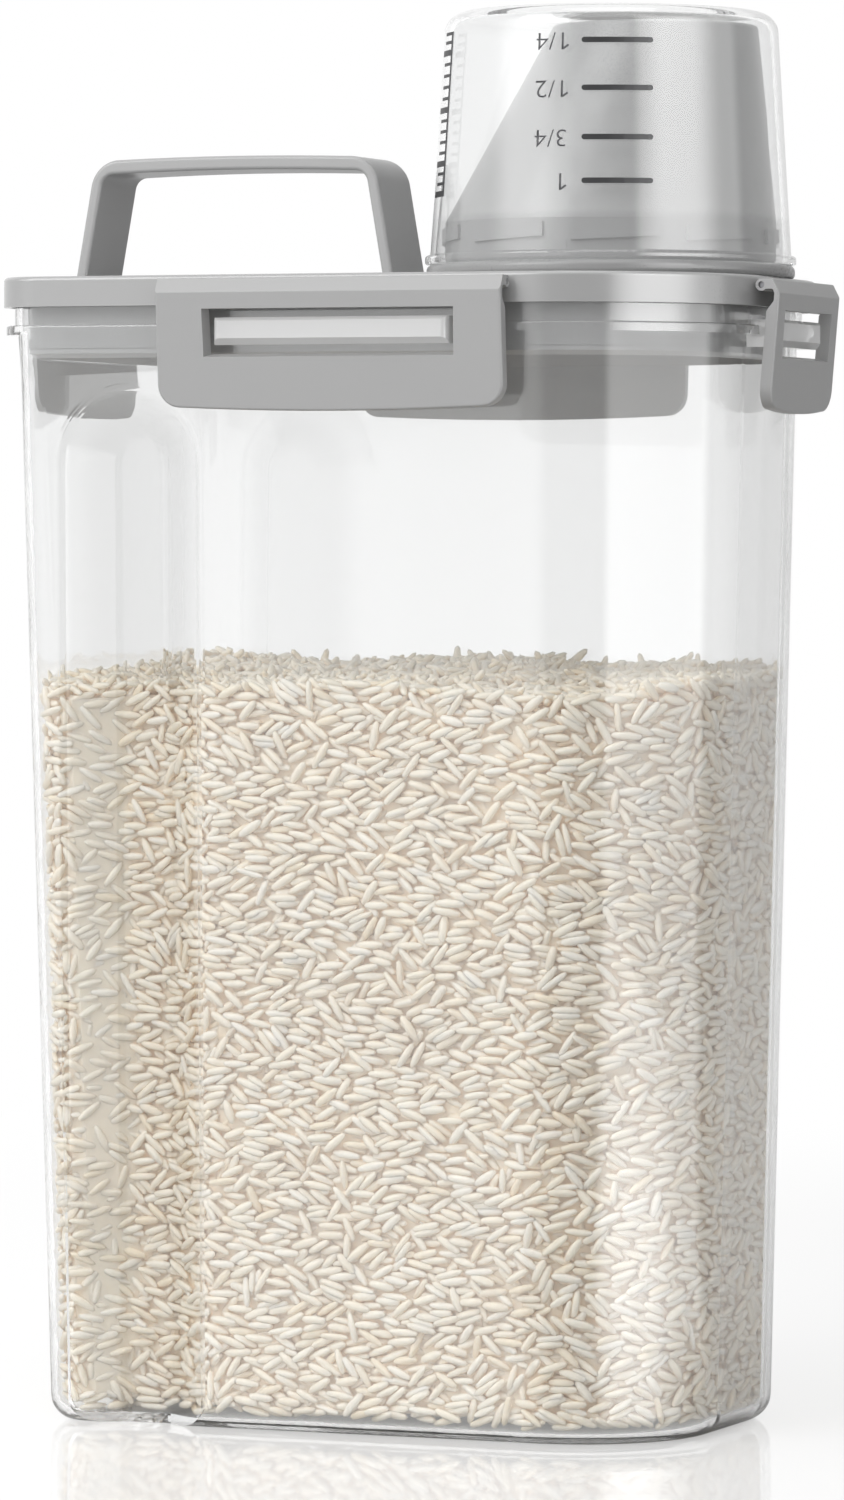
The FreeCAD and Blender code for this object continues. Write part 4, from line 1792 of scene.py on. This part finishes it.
@dataclass
class Studio:
    """A white room: floor, daylight, two softboxes and a ring of panels that gloss mirrors.

    Attributes:
        lift: Extra brightness of the floor where it is looked at.
        floor_white: The floor's own tone.
        mirror: Share of mirror gloss in the floor.
        polish: Roughness of that gloss.
        refraction: Refractive index that sets how it grows towards grazing views.
        peak: Strength that the tables below are counted in.
        daylight: Degrees round from the front and strength of the even light.
        panels: The same for the panels, which only gloss mirrors.
        strips: The brighter panels among them.
        ring_fade: Height at which the ring is gone, and up to which it is full.
        bounces: How often light may bounce, so that thick clear edges don't turn black.
        floor_half: Half width of the floor.
        floor_z: Height of the floor, just under the tub.
        near: Where the lit floor starts to turn plain white.
        far: Where the floor is plain white.
        near_mirror: The same two places for what gloss mirrors of the floor.
        lamps: The softboxes.
        middle: The point that they face.
    """

    lift: float = 0.68
    floor_white: float = 0.38
    mirror: float = 0.75
    polish: float = 0.04
    refraction: float = 1.5
    peak: float = 10.0
    daylight: tuple[tuple[float, float], ...] = (
        (-180.0, 0.55), (-90.0, 0.78), (-20.0, 1.08), (15.0, 1.02), (50.0, 0.52), (80.0, 0.38),
        (125.0, 0.35), (180.0, 0.55),
    )
    panels: tuple[tuple[float, float], ...] = (
        (-180.0, 0.6), (-150.0, 1.0), (-70.0, 1.0), (-45.0, 1.5), (-12.0, 1.5), (0.0, 0.2),
        (34.0, 0.2), (42.0, 3.0), (108.0, 2.7), (118.0, 0.6), (168.0, 0.5), (180.0, 0.6),
    )
    strips: tuple[Strip, ...] = (Strip(66.5, 34.0, 6.6, 0.0), Strip(-38.0, 30.0, 3.0, 0.12))
    ring_fade: tuple[float, float] = (0.75, 0.45)
    bounces: int = 20
    floor_half: float = 1.0
    floor_z: float = -0.1 * MM
    near: float = 0.35
    far: float = 0.9
    near_mirror: tuple[float, float] = (0.35 / 3, 0.35)
    lamps: tuple[Softbox, ...] = (
        Softbox("key", -28.0, 38.0, 1.5, (0.9, 0.9), 7.5),
        Softbox("top", 30.0, 80.0, 1.4, (0.8, 0.8), 3.0),
    )
    middle: Triple = (0.0, 0.0, 0.16)

    def build(self) -> None:
        """Makes the room."""
        scene = bpy.context.scene
        scene.view_settings.view_transform = "Standard"
        for kind in ("max", "transmission", "glossy", "transparent_max", "diffuse"):
            setattr(scene.cycles, kind + "_bounces", self.bounces)
        scene.world = bpy.data.worlds.new("daylight")
        scene.world.use_nodes = True
        ring = self._panel_ring()
        self._daylight(NodeSheet(scene.world.node_tree), ring)
        self._floor(ring)
        for lamp in self.lamps:
            lamp.build(Vector(self.middle))
        LOG.info("studio built")

    def _panel_ring(self) -> bpy.types.NodeTree:
        """The ring of soft panels round the container, as a node group.

        Returns:
            The group: from a direction, or a place on the floor, to the panels' strength.
        """
        sheet, given, out = new_group(
            "panel_ring", {"Way": "Vector"}, {"Angle": "Float", "Strength": "Float"}
        )
        way = sheet.axes(given["Way"])
        angle = sheet.math("ARCTAN2", way["X"], sheet.math("MULTIPLY", way["Y"], -1.0))
        around = sheet.math("MULTIPLY_ADD", angle, 0.5 / math.pi, 0.5)
        ring = self._around(sheet, around, self.panels)
        for strip in self.strips:
            above = sheet.fade(way["Z"], *(strip.lowest + rise for rise in strip.rise))
            offset = sheet.math("SUBTRACT", angle, math.radians(strip.azimuth))
            edge = math.radians(strip.half_width)
            lit = sheet.fade(
                sheet.math("ABSOLUTE", offset), edge, edge * strip.core, high=strip.strength,
                curve="SMOOTHSTEP",
            )
            ring = sheet.math("MULTIPLY_ADD", lit, above, ring)
        low = sheet.fade(sheet.math("ABSOLUTE", way["Z"]), *self.ring_fade)
        sheet.feed(out, {"Angle": around, "Strength": sheet.spread(low, 1.0, ring)})
        return sheet.tree

    def _daylight(self, sheet: NodeSheet, ring: bpy.types.NodeTree) -> None:
        """The even light, looked at as plain white and mirrored as a ring of soft panels.

        Args:
            sheet: The world's sheet.
            ring: The ring's node group.
        """
        panels = sheet.group(ring, {"Way": sheet.add("TexCoord")["Generated"]})
        day = self._around(sheet, panels["Angle"], self.daylight)
        lit = sheet.spread(sheet.rays("Glossy"), day, panels["Strength"])
        strength = sheet.spread(sheet.rays("Camera", "Transmission"), lit, 1.0)
        sky = sheet.add("Background", {"Color": WHITE, "Strength": strength})[0]
        sheet.add("OutputWorld", {"Surface": sky})

    def _around(
        self, sheet: NodeSheet, around: bpy.types.NodeSocket, table: tuple[tuple[float, float], ...]
    ) -> bpy.types.NodeSocket:
        """Strength of a ring of light.

        Args:
            sheet: The world's sheet.
            around: Angle round from the back, from 0 to 1.
            table: Degrees round from the front and strength of each stop.

        Returns:
            The strength.
        """
        stops = tuple(((angle + 180) / 360, (value / self.peak,) * 3) for angle, value in table)
        return sheet.math("MULTIPLY", sheet.ramp(around, stops, "EASE"), self.peak)

    def _floor(self, ring: bpy.types.NodeTree) -> None:
        """A white floor that keeps the container's shadow and a faint mirror image.

        Args:
            ring: The panels' node group, which gloss mirrors where the floor has faded.
        """
        clear_selection()
        bpy.ops.mesh.primitive_plane_add(size=2 * self.floor_half, location=(0, 0, self.floor_z))
        floor = adopt("floor")
        settle(floor)
        material, sheet = new_material("white_floor")
        seen = sheet.rays("Camera", "Transmission")
        mirrored = sheet.math("SUBTRACT", sheet.rays("Glossy"), seen, clamp=True)
        where = sheet.place()
        length = sheet.add("VectorMath", {0: where}, operation="LENGTH")["Value"]
        matt = sheet.add("BsdfDiffuse", {"Color": rgba((self.floor_white,) * 3)})[0]
        lift = sheet.math("MULTIPLY", seen, self.lift)
        glow = sheet.add("Emission", {"Color": WHITE, "Strength": lift})[0]
        lit = sheet.add("AddShader", {0: matt, 1: glow})[0]
        gloss = sheet.add("BsdfGlossy", {"Color": WHITE, "Roughness": self.polish})[0]
        fresnel = sheet.add("Fresnel", {"IOR": self.refraction})[0]
        polished = sheet.mix(sheet.math("MULTIPLY", fresnel, self.mirror), lit, gloss)
        panels = sheet.group(ring, {"Way": where})["Strength"]
        plain = sheet.add(
            "Emission", {"Color": WHITE, "Strength": sheet.spread(mirrored, 1.0, panels)}
        )[0]
        faded = [
            sheet.math("MULTIPLY", rays, sheet.fade(length, start, end, curve="SMOOTHSTEP"))
            for rays, start, end in (
                (seen, self.near, self.far), (mirrored, *self.near_mirror),
            )
        ]
        surface = sheet.mix(sheet.math("ADD", *faded), polished, plain)
        sheet.add("OutputMaterial", {"Surface": surface})
        dress(floor, material)
        floor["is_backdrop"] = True


def main(frame: dict[str, Any], cad_box: tuple[Vector, Vector]) -> None:
    """Dresses the container and builds the studio.

    Args:
        cad_box: Lowest and highest corner of the CAD model, not used.
    """
    nodes = frame["nodes"]
    PhotoCamera().build()
    effects = Effects()
    GreyMouldings(effects).finish(nodes)
    SealsAndPins(effects).finish(nodes)
    ClearTub(effects).finish(nodes)
    MeasuringCup(effects).finish(nodes)
    Rice().build(nodes["tub"])
    Studio().build()
    clear_selection()


if __name__ == "__main__":
    logging.basicConfig(level=logging.INFO, format="%(message)s")
    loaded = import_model()
    main(loaded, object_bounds())
